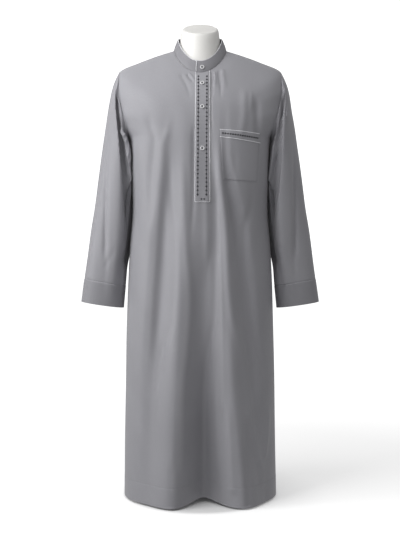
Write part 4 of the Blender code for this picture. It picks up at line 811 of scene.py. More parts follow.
def cloth_material(name, dark, light, twill=620.0, rough=0.52, sheen=0.25, tone_spread=0.035, bump=0.25):
    """Satin twill: fine slanted ribs, slow shifts in colour, a soft sheen; a per-point attribute darkens the colour
    where shade is painted.
    """
    mat = bpy.data.materials.new(name)
    tree, shader = nodes_of(mat)
    links, add = tree.links, tree.nodes.new
    uv = add("ShaderNodeUVMap")
    uv.uv_map = "cloth"
    place = add("ShaderNodeMapping")
    place.inputs["Rotation"].default_value = (0, 0, math.radians(58))
    links.new(uv.outputs["UV"], place.inputs["Vector"])
    ribs = add("ShaderNodeTexWave")
    ribs.wave_type, ribs.bands_direction, ribs.wave_profile = "BANDS", "X", "SIN"
    ribs.inputs["Scale"].default_value = twill
    ribs.inputs["Distortion"].default_value = 0.6
    ribs.inputs["Detail"].default_value = 1.0
    ribs.inputs["Detail Scale"].default_value = 1.6
    links.new(place.outputs["Vector"], ribs.inputs["Vector"])
    slub = add("ShaderNodeTexNoise")
    slub.inputs["Scale"].default_value = 900.0
    slub.inputs["Detail"].default_value = 3.0
    stretch = add("ShaderNodeMapping")
    stretch.inputs["Scale"].default_value = (1.0, 0.12, 1.0)
    links.new(uv.outputs["UV"], stretch.inputs["Vector"])
    links.new(stretch.outputs["Vector"], slub.inputs["Vector"])
    slow = add("ShaderNodeTexNoise")
    slow.inputs["Scale"].default_value = 7.0
    slow.inputs["Detail"].default_value = 3.0
    links.new(uv.outputs["UV"], slow.inputs["Vector"])
    blend = add("ShaderNodeMix")
    blend.data_type = "RGBA"
    blend.inputs[6].default_value = dark + (1.0,)
    blend.inputs[7].default_value = light + (1.0,)
    weigh = add("ShaderNodeMath")
    weigh.operation = "MULTIPLY_ADD"
    weigh.inputs[1].default_value = 0.45
    links.new(ribs.outputs["Fac"], weigh.inputs[0])
    part = add("ShaderNodeMath")
    part.operation = "MULTIPLY"
    part.inputs[1].default_value = 0.55
    links.new(slub.outputs["Fac"], part.inputs[0])
    links.new(part.outputs[0], weigh.inputs[2])
    links.new(weigh.outputs[0], blend.inputs["Factor"])
    # per-point multiplier from the mesh: under 1 only on the sleeves' cuff hems, where shade is painted
    shade_tone = add("ShaderNodeAttribute")
    shade_tone.attribute_name = "shade_tone"
    drift = add("ShaderNodeMapRange")
    drift.inputs["From Min"].default_value, drift.inputs["From Max"].default_value = 0.3, 0.7
    drift.inputs["To Min"].default_value, drift.inputs["To Max"].default_value = 1 - tone_spread, 1 + tone_spread
    links.new(slow.outputs["Fac"], drift.inputs["Value"])
    both = add("ShaderNodeMath")
    both.operation = "MULTIPLY"
    links.new(drift.outputs["Result"], both.inputs[0])
    links.new(shade_tone.outputs["Fac"], both.inputs[1])
    scale = add("ShaderNodeVectorMath")
    scale.operation = "SCALE"
    links.new(blend.outputs[2], scale.inputs[0])
    links.new(both.outputs[0], scale.inputs["Scale"])
    links.new(scale.outputs[0], shader.inputs["Base Color"])
    shader.inputs["Roughness"].default_value = rough
    shader.inputs["Sheen Weight"].default_value = sheen
    shader.inputs["Sheen Roughness"].default_value = 0.45
    shader.inputs["Specular IOR Level"].default_value = 0.35
    relief = add("ShaderNodeBump")
    relief.inputs["Strength"].default_value = bump
    relief.inputs["Distance"].default_value = 0.00025
    links.new(weigh.outputs[0], relief.inputs["Height"])
    links.new(relief.outputs["Normal"], shader.inputs["Normal"])
    return mat


def thread_material(name, dark, light, scale=1400.0, rough=0.45, sheen=0.2):
    """Twisted thread or cord: fine slanted strands."""
    mat = bpy.data.materials.new(name)
    tree, shader = nodes_of(mat)
    links, add = tree.links, tree.nodes.new
    coord = add("ShaderNodeTexCoord")
    strands = add("ShaderNodeTexWave")
    strands.wave_type, strands.bands_direction = "BANDS", "DIAGONAL"
    strands.inputs["Scale"].default_value = scale / 6
    strands.inputs["Distortion"].default_value = 0.8
    links.new(coord.outputs["Object"], strands.inputs["Vector"])
    blend = add("ShaderNodeMix")
    blend.data_type = "RGBA"
    blend.inputs[6].default_value = dark + (1.0,)
    blend.inputs[7].default_value = light + (1.0,)
    links.new(strands.outputs["Fac"], blend.inputs["Factor"])
    links.new(blend.outputs[2], shader.inputs["Base Color"])
    shader.inputs["Roughness"].default_value = rough
    shader.inputs["Sheen Weight"].default_value = sheen
    relief = add("ShaderNodeBump")
    relief.inputs["Strength"].default_value = 0.5
    relief.inputs["Distance"].default_value = 0.0002
    links.new(strands.outputs["Fac"], relief.inputs["Height"])
    links.new(relief.outputs["Normal"], shader.inputs["Normal"])
    return mat


def plain_material(name, dark, light, scale, rough_low, rough_high, metallic=0.0, bump=0.05, stretch=(1, 1, 1), coat=0.0):
    """Moulded, painted or metal surfaces: a slow drift in colour, uneven gloss and a trace of relief."""
    mat = bpy.data.materials.new(name)
    tree, shader = nodes_of(mat)
    links, add = tree.links, tree.nodes.new
    coord = add("ShaderNodeTexCoord")
    place = add("ShaderNodeMapping")
    place.inputs["Scale"].default_value = stretch
    links.new(coord.outputs["Object"], place.inputs["Vector"])
    noise = add("ShaderNodeTexNoise")
    noise.inputs["Scale"].default_value = scale
    noise.inputs["Detail"].default_value = 4.0
    links.new(place.outputs["Vector"], noise.inputs["Vector"])
    blend = add("ShaderNodeMix")
    blend.data_type = "RGBA"
    blend.inputs[6].default_value = dark + (1.0,)
    blend.inputs[7].default_value = light + (1.0,)
    links.new(noise.outputs["Fac"], blend.inputs["Factor"])
    links.new(blend.outputs[2], shader.inputs["Base Color"])
    gloss = add("ShaderNodeMapRange")
    gloss.inputs["From Min"].default_value, gloss.inputs["From Max"].default_value = 0.3, 0.7
    gloss.inputs["To Min"].default_value, gloss.inputs["To Max"].default_value = rough_low, rough_high
    links.new(noise.outputs["Fac"], gloss.inputs["Value"])
    links.new(gloss.outputs["Result"], shader.inputs["Roughness"])
    shader.inputs["Metallic"].default_value = metallic
    shader.inputs["Coat Weight"].default_value = coat
    relief = add("ShaderNodeBump")
    relief.inputs["Strength"].default_value = bump
    relief.inputs["Distance"].default_value = 0.0003
    links.new(noise.outputs["Fac"], relief.inputs["Height"])
    links.new(relief.outputs["Normal"], shader.inputs["Normal"])
    return mat


CLOTH = cloth_material("robe_twill", (0.275, 0.273, 0.296), (0.365, 0.362, 0.388))
# painted shade: the collar is the robe's own cloth, coloured about 0.8 times as dark to stand in for the shade on it
COLLAR_CLOTH_SHADED = cloth_material("collar_twill_painted_shade", (0.215, 0.213, 0.231), (0.285, 0.282, 0.303))
PIPING = thread_material("piping_cord", (0.62, 0.62, 0.65), (0.86, 0.86, 0.89))
DARK_THREAD = thread_material("embroidery_thread", (0.022, 0.022, 0.027), (0.055, 0.055, 0.063))
SEWING = thread_material("sewing_thread", (0.20, 0.20, 0.22), (0.30, 0.30, 0.32))
PEARL = plain_material("button_pearl", (0.55, 0.55, 0.57), (0.82, 0.82, 0.83), 260.0, 0.12, 0.28, coat=0.4)
# painted shade: dark grey for the disc that stands in for the shadow in each button's dished middle
BUTTON_DISH_SHADE = plain_material("button_dish_painted_shade", (0.13, 0.13, 0.14), (0.20, 0.20, 0.21), 300.0, 0.35, 0.50)
WHITE = plain_material("form_white", (0.80, 0.79, 0.765), (0.84, 0.83, 0.805), 9.0, 0.38, 0.50, bump=0.04)
STEEL = plain_material("stand_steel", (0.50, 0.50, 0.51), (0.60, 0.60, 0.61), 40.0, 0.24, 0.40, metallic=1.0, bump=0.06, stretch=(1, 1, 12))

# ---------------------------------------------------------------- the cut pieces, fine
THIN = 0.0011            # cloth as shown


def fine_rows(top, arm, skirt):
    rows = [np.linspace(0.0, T_TIP, top, endpoint=False),
            T_TIP + (T_UNDER - T_TIP) * (1 - np.cos(np.pi * np.arange(arm + 1) / arm)) / 2,
            T_UNDER + (T_HEM - T_UNDER) * (np.arange(1, skirt + 1) / skirt) ** 1.08]
    rows = np.concatenate(rows)
    # a few close rows where the hem is sewn, 6 cm up, and at its edge
    line = t_at_side(np.array([0.0655, 0.0645, 0.0635, 0.0625, 0.0615, 0.0605, 0.012, 0.009]))
    return np.unique(np.concatenate([rows, line]))


def hem_relief(t):
    """The turned hem is a layer thicker, with a sewn line pressed in above it."""
    z = body_ring(t)["z_side"]
    return 0.0003 * soft_step((0.0640 - z) / 0.0040) - 0.0002 * np.exp(-((z - 0.0632) / 0.0014) ** 2)


def make_front():
    t = fine_rows(30, 72, 150)
    u = np.linspace(-1, 1, 161)
    u = u - 0.25 * np.sin(np.pi * u) / np.pi
    span = np.pi / 2 - armhole_angle(t, True)
    centre = front_angle(np.full(len(t), SLIT_X), t) + np.pi / 2
    angle = -np.pi / 2 + u[None, :] * span[:, None] + (1 - np.abs(u))[None, :] * centre[:, None]
    outer, normal = skin(t[:, None], angle), skin_normal(t[:, None], angle)
    for j in (0, -1):
        seam = (t <= T_TIP + 1e-9) | (t >= T_UNDER - 1e-9)
        normal[seam, j, 1] = 0
    normal = unit(normal)
    edge = soft_step((1 - np.abs(u)) / 0.05)[None, :]
    h = front_detail(outer) * edge + hem_relief(t)[:, None]
    h = h + seam_dip(outer, t, u)
    outer = outer + h[..., None] * normal
    shift = np.array([0, -SEAM_HALF, 0])
    shade_tone = np.ones(outer.shape[:2])
    piece = shell("robe_front", outer + shift, outer - THIN * normal + shift, CLOTH, shade_tone=shade_tone)
    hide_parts("front_panel")
    return piece, outer, normal, t


def seam_dip(outer, t, u):
    """Seam allowances draw the cloth in a little beside each seam."""
    beside = np.exp(-((1 - np.abs(u)) / 0.012) ** 2)
    return -0.0007 * beside[None, :] * np.ones(len(t))[:, None]


def make_back():
    t = fine_rows(30, 72, 130)
    u = np.linspace(-1, 1, 121)
    span = np.pi / 2 - armhole_angle(t, False)
    angle = np.pi / 2 + u[None, :] * span[:, None]
    outer, normal = skin(t[:, None], angle), skin_normal(t[:, None], angle)
    for j in (0, -1):
        seam = (t <= T_TIP + 1e-9) | (t >= T_UNDER - 1e-9)
        normal[seam, j, 1] = 0
    normal = unit(normal)
    edge = soft_step((1 - np.abs(u)) / 0.05)[None, :]
    h = back_detail(outer) * edge + hem_relief(t)[:, None] + seam_dip(outer, t, u)
    outer = outer + h[..., None] * normal
    shift = np.array([0, SEAM_HALF, 0])
    piece = shell("robe_back", outer + shift, outer - THIN * normal + shift, CLOTH)
    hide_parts("back_panel")
    return piece, outer, normal, t


def sleeve_detail(s, psi, side):
    turn = np.degrees(psi)
    h = crease_height(SLEEVE_CREASES + (LEFT_CREASES if side > 0 else RIGHT_CREASES), turn, s, 60.0)
    h += wander(turn / 57.3 * 0.07, -s * 0.062, 0.0006, 0.10, 1.1 if side > 0 else 3.7) * soft_step(s / 1.5)
    return h


def cuff_step_at(height):
    """Section number where the sleeve's outer side is this far above the cuff's edge, along it."""
    steps = np.linspace(0, CUFF_STEP, 400)
    x, z = (curve(np.arange(len(SLEEVE_TABLE)), SLEEVE_TABLE[:, k], steps) for k in (0, 1))
    up = np.concatenate([[0], np.cumsum(np.hypot(np.diff(x), np.diff(z)))])
    return np.interp(up[-1] - height, up, steps)


def make_sleeve(name, node, side, folds):
    s = np.concatenate([np.linspace(0, 1.2, 34, endpoint=False), np.linspace(1.2, CUFF_STEP, 120)])
    line = cuff_step_at(CUFF_HEM)
    s = np.unique(np.concatenate([s, line + np.array([-0.028, -0.018, -0.009, 0.0, 0.009, 0.018])]))
    psi = 2 * np.pi * np.arange(132) / 132
    outer = sleeve_skin(s[:, None], psi[None, :], folds)
    normal = sleeve_normal(s[:, None], psi[None, :], folds)
    for j in (0, 66):
        normal[0, j, 1] = 0
    normal = unit(normal)
    h = sleeve_detail(*np.broadcast_arrays(s[:, None], psi[None, :]), side)
    h = h * soft_step(s / 0.5)[:, None]
    h = h - 0.0008 * np.exp(-(s / 0.10) ** 2)[:, None]
    h = h + (0.0005 * soft_step((s - line) / 0.02) - 0.0007 * np.exp(-((s - line + 0.006) / 0.016) ** 2))[:, None]
    outer = outer + h[..., None] * normal
    rise = np.sin(psi / 2)[None, :] ** 2 * (1 - soft_step(s))[:, None]
    shift = ARM_SEAM * np.stack([np.ones(rise.shape), np.zeros(rise.shape), 1.2 * rise], -1)
    inner = outer - THIN * normal
    flip = np.array([side, 1, 1])
    # painted shade: the turned cuff hem below its sewn line is coloured 13% darker than the rest of the sleeve
    shade_tone = 1 - 0.13 * soft_step((s - line) / 0.03)[:, None] * np.ones(len(psi))[None, :]
    piece = shell(name, (outer + shift) * flip, (inner + shift) * flip, CLOTH, round_=True, shade_tone=shade_tone)
    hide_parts(node)
    row = int(np.argmin(np.abs(s - (line - 0.006))))
    ring = np.concatenate([outer[row], outer[row, :1]]) * flip
    norm = np.concatenate([normal[row], normal[row, :1]]) * flip
    return piece, ring, norm


def make_collar():
    q = np.linspace(0, 1, 300)
    angle, inward = collar_path(q)
    down = np.linspace(0.022, 0.955, 16)
    rings = []
    profile = [(v, 0.0) for v in down] + [(0.985, 0.00025), (1.0, 0.0008), (1.0, 0.0014), (0.985, 0.00205)] + [(v, COLLAR_WALL) for v in down[::-1]]
    for v, depth in profile:
        p, n = collar_skin(np.full(len(q), v), angle), collar_normal(np.full(len(q), min(v, 0.97)), angle)
        rings.append(p - (inward + depth)[:, None] * n)
    rings = np.stack(rings, 1)
    # the collar's darker colour is painted shade
    piece = loft("robe_collar", rings, COLLAR_CLOTH_SHADED, uv=True)
    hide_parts("collar_band")
    return piece


def strip_profile(width, high, edge=0.0015):
    """Offsets across a sewn-on strip: (share across, height), rolled down at both edges."""
    u = np.array([0.0, 0.25 * edge, 0.6 * edge, edge]) / width
    h = high * np.array([0.35, 0.72, 0.93, 1.0])
    middle = np.linspace(edge / width, 1 - edge / width, 9)[1:-1]
    return np.concatenate([u, middle, 1 - u[::-1]]), np.concatenate([h, np.full(len(middle), high), h[::-1]])


def make_placket():
    x0, x1 = PLACKET_X0_TOP + 0.0010, PLACKET_X1 - 0.0010
    share, high = strip_profile(x1 - x0, 0.0021)
    down = np.linspace(0, 1, 130)
    top = neck_z(x0 + (x1 - x0) * share) - 0.0012
    foot = PLACKET_END_Z + 0.0012
    z = top[None, :] + (foot - top[None, :]) * down[:, None]
    x0 = placket_left(z) + 0.0010
    p, n = front_fine(x0 + (x1 - x0) * share, z)
    pucker = 0.00016 * np.sin(2 * np.pi * z / 0.0125 + 1.3 * np.sin(z * 90)) * np.exp(-((share[None, :] - 0.5) / 0.42) ** 8)
    outer = p + (high[None, :] + pucker)[..., None] * n
    piece = shell("placket_strip", outer, p + 0.0003 * n, CLOTH)
    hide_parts("placket")
    return piece


def neck_z(x):
    zero = np.zeros(len(x))
    return skin(zero, front_angle(x, zero))[:, 2]


def placket_left(z):
    """The placket's left edge at a height: a straight line, a little off plumb."""
    return PLACKET_X0 + (PLACKET_X0_TOP - PLACKET_X0) * (z - PLACKET_END_Z) / (PLACKET_TOP_Z - PLACKET_END_Z)


def dense(corners, pitch=0.002):
    points = [np.array(corners[0], float)]
    for a, b in zip(corners, corners[1:]):
        a, b = np.array(a, float), np.array(b, float)
        count = max(1, int(round(np.linalg.norm(b - a) / pitch)))
        points += [a + (b - a) * k / count for k in range(1, count + 1)]
    return np.array(points)


def rounded(corners, pitch=0.002, turn=0.0012):
    """A dense path whose corners are rounded off."""
    path = dense(corners, pitch)
    for _ in range(3):
        path[1:-1] = 0.25 * path[:-2] + 0.5 * path[1:-1] + 0.25 * path[2:]
    return path


def make_pipings():
    left, right = PLACKET_X0, PLACKET_X1
    top = neck_z(np.array([PLACKET_X0_TOP, right])) - 0.0016
    path = rounded([(placket_left(top[0]), top[0]), (left, PLACKET_END_Z), (right, PLACKET_END_Z), (right, top[1])])
    p, n = front_fine(path[:, 0], path[:, 1])
    piece = tube("placket_cord", p + 0.0012 * n, n, 0.00115, PIPING)
    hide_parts("placket_piping")
    angle, inward = collar_path(np.linspace(0.012, 1, 260))
    t = collar_skin(np.ones(len(angle)), angle)
    n = collar_normal(np.ones(len(angle)) * 0.97, angle)
    centre = t - (inward + COLLAR_WALL / 2)[:, None] * n + np.array([0, 0, 0.0010])
    piece = tube("collar_top_cord", centre, np.broadcast_to((0, 0, 1.0), centre.shape), 0.0011, PIPING)
    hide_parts("collar_piping")
    end, _ = collar_path(1.0)
    b = BODY["neck_seam"][4]
    v = np.linspace(0.05, 0.985, 26)
    a = np.full(len(v), end + 0.0014 / b)
    c, n = collar_skin(v, a), collar_normal(v, a)
    piece = tube("collar_end_cord", c + 0.0009 * n, n, 0.00115, PIPING)
    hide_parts("collar_end_piping")


def pocket_point(u, v, lift):
    k = POCKET
    tl, tr = np.array([k["left"], BAND["foot_left"]]), np.array([k["right"], BAND["foot_right"]])
    fr = np.array([k["right"] - k["foot_in"], k["foot_right"]])
    fl = np.array([k["left"] + k["foot_in"], k["foot_left"]])
    u, v = u[..., None], v[..., None]
    xz = (tl * (1 - u) + tr * u) * (1 - v) + (fl * (1 - u) + fr * u) * v
    p, n = front_fine(xz[..., 0], xz[..., 1])
    return p + lift[..., None] * n, n


def make_pocket():
    width = POCKET["right"] - POCKET["left"]
    across, high = strip_profile(width, 1.0, 0.0060)
    across = np.unique(np.concatenate([across, np.linspace(0, 1, 45)]))
    high = np.interp(across, *strip_profile(width, 1.0, 0.0060))
    v = np.linspace(0, 1, 60)
    foot = np.interp(1 - v, np.array([0, 0.004, 0.010, 0.020]), np.array([0.35, 0.72, 0.93, 1.0]))
    gape = 0.0014 * np.exp(-(v / 0.30) ** 2)[:, None] * np.sin(np.pi * across)[None, :] ** 0.7
    lift = (0.0016 * high[None, :] * foot[:, None]) + gape
    uu, vv = np.meshgrid(across, v)
    dip = -0.0009 * np.exp(-(((uu - 0.36) * width - 0.0) / 0.010) ** 2) * np.sin(np.pi * vv)
    p, n = pocket_point(uu, vv, lift + dip * high[None, :])
    q, _ = pocket_point(uu, vv, np.minimum(lift - 0.0010, lift * 0.4))
    panel = shell("pocket_panel", p, q, CLOTH)
    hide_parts("pocket_patch")
    # the mouth band, above the patch
    x0, x1 = POCKET["left"] - 0.0006, POCKET["right"] + 0.0006
    uu, vv = np.meshgrid(np.linspace(0, 1, 50), np.array([0.0, 0.04, 0.12, 0.3, 0.5, 0.7, 0.88, 0.96, 1.0]))
    tl, tr = np.array([x0, BAND["top_left"] - 0.0010]), np.array([x1, BAND["top_right"] - 0.0010])
    fl, fr = np.array([x0, BAND["foot_left"] + 0.0010]), np.array([x1, BAND["foot_right"] + 0.0010])
    xz = (tl * (1 - uu[..., None]) + tr * uu[..., None]) * (1 - vv[..., None]) + (fl * (1 - uu[..., None]) + fr * uu[..., None]) * vv[..., None]
    p, n = front_fine(xz[..., 0], xz[..., 1])
    ends = np.interp(np.minimum(uu, 1 - uu) * width, np.array([0, 0.0006, 0.0015, 0.003]), np.array([0.35, 0.72, 0.93, 1.0]))
    edge = np.interp(np.minimum(vv, 1 - vv), np.array([0, 0.04, 0.12]), np.array([0.6, 0.9, 1.0]))
    lift = 0.0016 + (0.0014 + 0.0012 * np.sin(np.pi * uu) ** 0.7) * edge * ends
    mouth = shell("pocket_mouth", p + lift[..., None] * n, p + (lift * 0.35)[..., None] * n, CLOTH)
    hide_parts("pocket_band")
    for name, node, a, b in (("pocket_cord_top", "pocket_piping_top", "top_left", "top_right"),
                             ("pocket_cord_low", "pocket_piping_low", "foot_left", "foot_right")):
        path = dense([(POCKET["left"] - 0.0012, BAND[a]), (POCKET["right"] + 0.0012, BAND[b])])
        p, n = front_fine(path[:, 0], path[:, 1])
        u = np.linspace(0, 1, len(path))
        up = 0.0022 + 0.0012 * np.sin(np.pi * u) ** 0.7
        piece = tube(name, p + up[:, None] * n, n, 0.00125, PIPING)
        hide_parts(node)
    return panel, mouth


def front_line(points, lift, pitch=0.0015):
    path = dense(points, pitch)
    p, n = front_fine(path[:, 0], path[:, 1])
    return p + lift * n, n


def motifs(name, lines, pitch, mat, size=0.0030, threads=7, thick=0.00036):
    """A row of small satin-stitch lozenges: parallel threads, longest in the middle."""
    starts, ends, normals = [], [], []
    for points, norms in lines:
        p, n, t = walk(points, norms, pitch)
        side = unit(np.cross(t, n))
        for k in range(threads):
            s = (k - (threads - 1) / 2) / ((threads - 1) / 2)
            half = size * (1.12 - abs(s)) * 0.92
            c = p + t * (s * size)
            starts.append(c - side * half)
            ends.append(c + side * half)
            normals.append(n)
        starts.append(p[:-1])
        ends.append(p[1:])
        normals.append(n[:-1])
    return capsules(name, np.concatenate(starts), np.concatenate(ends), np.concatenate(normals), thick, mat)


def make_embroidery():
    z_top = 1.262
    rows = [front_line([(-0.0048, z_top), (-0.0078, PLACKET_END_Z + 0.010)], 0.0023),
            front_line([(0.0198, z_top), (0.0176, PLACKET_END_Z + 0.010)], 0.0023)]
    motifs("placket_ornament", rows, 0.0119, DARK_THREAD, size=0.0036, threads=9, thick=0.00050)
    foot = [front_line([(-0.0005, PLACKET_END_Z + 0.0085), (0.0150, PLACKET_END_Z + 0.0085)], 0.0023)]
    motifs("placket_ornament_foot", foot, 0.0078, DARK_THREAD)
    mid_l = (POCKET["left"] + 0.003, (BAND["top_left"] + BAND["foot_left"]) / 2)
    mid_r = (POCKET["right"] - 0.003, (BAND["top_right"] + BAND["foot_right"]) / 2)
    row = front_line([mid_l, mid_r], 0.0)
    p, n = row
    u = np.linspace(0, 1, len(p))
    lift = 0.0034 + 0.0012 * np.sin(np.pi * np.clip(0.03 + 0.94 * u, 0, 1)) ** 0.7
    motifs("pocket_ornament", [(p + lift[:, None] * n, n)], 0.0074, DARK_THREAD, size=0.0030, threads=9, thick=0.00050)


def make_stitching(sleeve_rings, front, back):
    lines = []
    for ring, norm in sleeve_rings:
        lines.append((ring, norm))
    for piece, outer, normal, t in (front, back):
        row = int(np.argmin(np.abs(body_ring(t)["z_side"] - 0.0632)))
        lines.append((outer[row, 2:-2], normal[row, 2:-2]))
    stitches("hem_stitches", lines, SEWING)
    lines = []
    for x_top, x in ((PLACKET_X0_TOP + 0.0030, PLACKET_X0 + 0.0030), (PLACKET_X1 - 0.0030, PLACKET_X1 - 0.0030)):
        z0 = float(neck_z(np.array([x_top]))[0]) - 0.003
        lines.append(front_line([(x_top, z0), (x, PLACKET_END_Z + 0.0030)], 0.0021))
    lines.append(front_line([(PLACKET_X0 + 0.0030, PLACKET_END_Z + 0.0030), (PLACKET_X1 - 0.0030, PLACKET_END_Z + 0.0030)], 0.0021))
    k = POCKET
    inset = 0.0028
    side_l = [(k["left"] + inset, BAND["foot_left"] - 0.003), (k["left"] + k["foot_in"] + inset, k["foot_left"] + inset)]
    side_r = [(k["right"] - inset, BAND["foot_right"] - 0.003), (k["right"] - k["foot_in"] - inset, k["foot_right"] + inset)]
    lines.append(front_line([side_l[0], side_l[1], side_r[1]], 0.0021))
    lines.append(front_line([side_r[0], side_r[1]], 0.0021))
    stitches("edge_stitches", lines, SEWING, pitch=0.0030, length=0.0021)
    # two rows round the collar
    lines = []
    q = np.linspace(0.03, 0.985, 500)
    angle, inward = collar_path(q)
    for v in (0.10, 0.90):
        p, n = collar_skin(np.full(len(q), v), angle), collar_normal(np.full(len(q), v), angle)
        keep = inward < 0.0001
        lines.append((p[keep] + 0.0001 * n[keep], n[keep]))
    stitches("collar_stitches", lines, SEWING, pitch=0.0030, length=0.0021)


def turned(name, profile, place, normal, mat, sides=48):
    """A body turned about a normal from (radius, height) points."""
    n = normal / np.linalg.norm(normal)
    helper = np.array([0, 0, 1.0]) if abs(n[2]) < 0.9 else np.array([1.0, 0, 0])
    side = np.cross(helper, n)
    side /= np.linalg.norm(side)
    up = np.cross(n, side)
    angle = 2 * np.pi * np.arange(sides) / sides
    rings = [place + r * (np.cos(angle)[:, None] * side + np.sin(angle)[:, None] * up) + h * n for r, h in profile]
    return loft(name, rings, mat, sharp=35)


def make_buttons():
    r, t = BUTTON_R, BUTTON_T
    profile = [(0.0004, 0.0), (0.66 * r, 0.0), (0.84 * r, 0.08 * t), (0.95 * r, 0.26 * t), (r, 0.50 * t), (0.985 * r, 0.68 * t), (0.94 * r, 0.84 * t),
               (0.87 * r, 0.95 * t), (0.79 * r, t), (0.71 * r, 0.97 * t), (0.64 * r, 0.86 * t), (0.59 * r, 0.72 * t), (0.54 * r, 0.62 * t),
               (0.40 * r, 0.57 * t), (0.20 * r, 0.56 * t), (0.0004, 0.56 * t)]
    b = BODY["neck_seam"][4]
    angle = -np.pi / 2 + SLIT_X / b
    p, n = collar_skin(COLLAR_BUTTON_V, angle), collar_normal(COLLAR_BUTTON_V, angle)
    places = [("collar_button", "button_collar", p + 0.0005 * n, n)]
    for k, z in enumerate(BUTTON_ZS, 1):
        p, n = front_place(np.array([SLIT_X]), np.array([z]))
        places.append((f"chest_button_{k}", f"button_{k}", p[0] + (ON_TOP + LAYER + 0.0004) * n[0], n[0]))
    starts, ends, norms = [], [], []
    for name, node, p, n in places:
        piece = turned(name, profile, p, n, PEARL)
        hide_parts(node)
        # a dark disc in the button's dish: painted shade of the recess
        turned(name + "_dish_shade", [(0.0003, 0.0), (0.0029, 0.0), (0.0032, 0.00012), (0.0032, 0.00022), (0.0003, 0.00026)], p + (0.56 * t) * n, n, BUTTON_DISH_SHADE)
        side = unit(np.cross((0, 0, 1.0), n))
        up = np.cross(n, side)
        for a, c in ((0.0011, 0.0011), (-0.0011, 0.0011)):
            q = p + n * (0.58 * t)
            starts.append(q + side * a - up * c)
            ends.append(q + side * a + up * c)
            norms.append(n)
    capsules("button_threads", np.array(starts), np.array(ends), np.array(norms), 0.0004, SEWING)


# ---------------------------------------------------------------- dress form and stand, fine
def make_form():
    table = np.array(list(FORM.values()))
    depth = np.concatenate([[0], np.cumsum(np.hypot(np.diff(table[:, 0]), np.diff(table[:, 4])) + 1e-4)])
    t = np.unique(np.concatenate([np.linspace(0, depth[4], 26), np.linspace(depth[4], depth[-1], 120)]))
    angle = 2 * np.pi * np.arange(112) / 112
    c = {k: curve(depth, table[:, i], t)[:, None] for i, k in enumerate(FORM_COLUMNS)}
    ca, sa = np.cos(angle)[None, :], np.sin(angle)[None, :]
    b = np.where(sa <= 0, c["depth_front"], c["depth_back"])
    far = np.where(sa <= 0, c["z_front"], c["z_back"])
    r = ((np.abs(ca) / c["half_width"]) ** c["square"] + (np.abs(sa) / b) ** c["square"]) ** (-1 / c["square"])
    x, y = r * ca, r * sa
    z = c["z_side"] + (far - c["z_side"]) * (np.abs(y) / b) ** c["dip"]
    rings = np.stack([x, y, z], -1)
    # the cap's flat top and the foot close in rings, so that both shade evenly
    top_c, foot_c = rings[0].mean(0), rings[-1].mean(0)
    cap = [top_c + (rings[0] - top_c) * k for k in (0.04, 0.3, 0.6, 0.85, 0.96)]
    base = [foot_c + (rings[-1] - foot_c) * k for k in (0.97, 0.7, 0.3, 0.04)]
    rings = np.concatenate([np.array(cap), rings, np.array(base)])
    piece = loft("form_body", rings, WHITE, sharp=48)
    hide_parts("form_torso")
    return piece


def make_stand():
    foot = PLATE_T + GAP
    zero, up = np.zeros(3), np.array([0, 0, 1.0])
    e = 0.0008
    piece = turned("stand_tube", [(0.001, foot), (POLE_R - e, foot), (POLE_R, foot + e), (POLE_R, POLE_TOP - e), (POLE_R - e, POLE_TOP), (0.001, POLE_TOP)], zero, up, STEEL, 64)
    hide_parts("stand_pole")
    z = POLE_TOP + GAP
    piece = turned("stand_collar", [(0.001, z), (FLANGE_R - e, z), (FLANGE_R, z + e), (FLANGE_R, z + FLANGE_T - e), (FLANGE_R - e, z + FLANGE_T), (0.001, z + FLANGE_T)], zero, up, STEEL, 64)
    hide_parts("stand_flange")
    bore = POLE_R + 0.0005
    h = SOCKET_H
    profile = [(bore, foot), (SOCKET_R - e, foot), (SOCKET_R, foot + e), (SOCKET_R, foot + h * 0.80), (SOCKET_R - 0.001, foot + h * 0.86), (SOCKET_R - 0.0035, foot + h * 0.96), (SOCKET_R - 0.005, foot + h), (bore, foot + h)]
    angle = 2 * np.pi * np.arange(64) / 64
    rings = np.array([[(r * math.cos(a), r * math.sin(a), z) for r, z in profile] for a in angle])
    k, m = rings.shape[:2]
    index = np.arange(k * m).reshape(k, m)
    nxt = np.roll(index, -1, 0)
    faces = np.stack([index, nxt, np.roll(nxt, -1, 1), np.roll(index, -1, 1)], -1).reshape(-1, 4)
    piece = new_object("stand_sleeve", rings.reshape(-1, 3), faces, STEEL, None, None, True, 35)
    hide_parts("stand_socket")
    # the base plate: a rounded rectangle with an eased rim
    def outline(inset, count=10):
        r = 0.035 - inset
        points = []
        for cx, cy, a0 in ((1, 1, 0), (-1, 1, 90), (-1, -1, 180), (1, -1, 270)):
            for k in range(count + 1):
                a = math.radians(a0 + 90 * k / count)
                points.append((cx * (PLATE_HALF_X - 0.035) + r * math.cos(a), PLATE_MID_Y + cy * (PLATE_HALF_Y - 0.035) + r * math.sin(a)))
        return points
    rings = []
    for inset, z in ((0.030, 0.0), (0.0006, 0.0), (0.0, 0.0006), (0.0, PLATE_T - 0.0018), (0.0006, PLATE_T - 0.0006), (0.002, PLATE_T), (0.030, PLATE_T)):
        rings.append([(x, y, z) for x, y in outline(inset)])
    piece = loft("stand_plate", np.array(rings), STEEL, sharp=40)
    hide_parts("stand_base")


front = make_front()
back = make_back()
left = make_sleeve("robe_sleeve_left", "sleeve_left", 1, 1.0)
right = make_sleeve("robe_sleeve_right", "sleeve_right", -1, 0.94)
collar = make_collar()
placket = make_placket()
make_pipings()
panel, mouth = make_pocket()
make_embroidery()
make_stitching([left[1:], right[1:]], front, back)
make_buttons()
make_form()
make_stand()

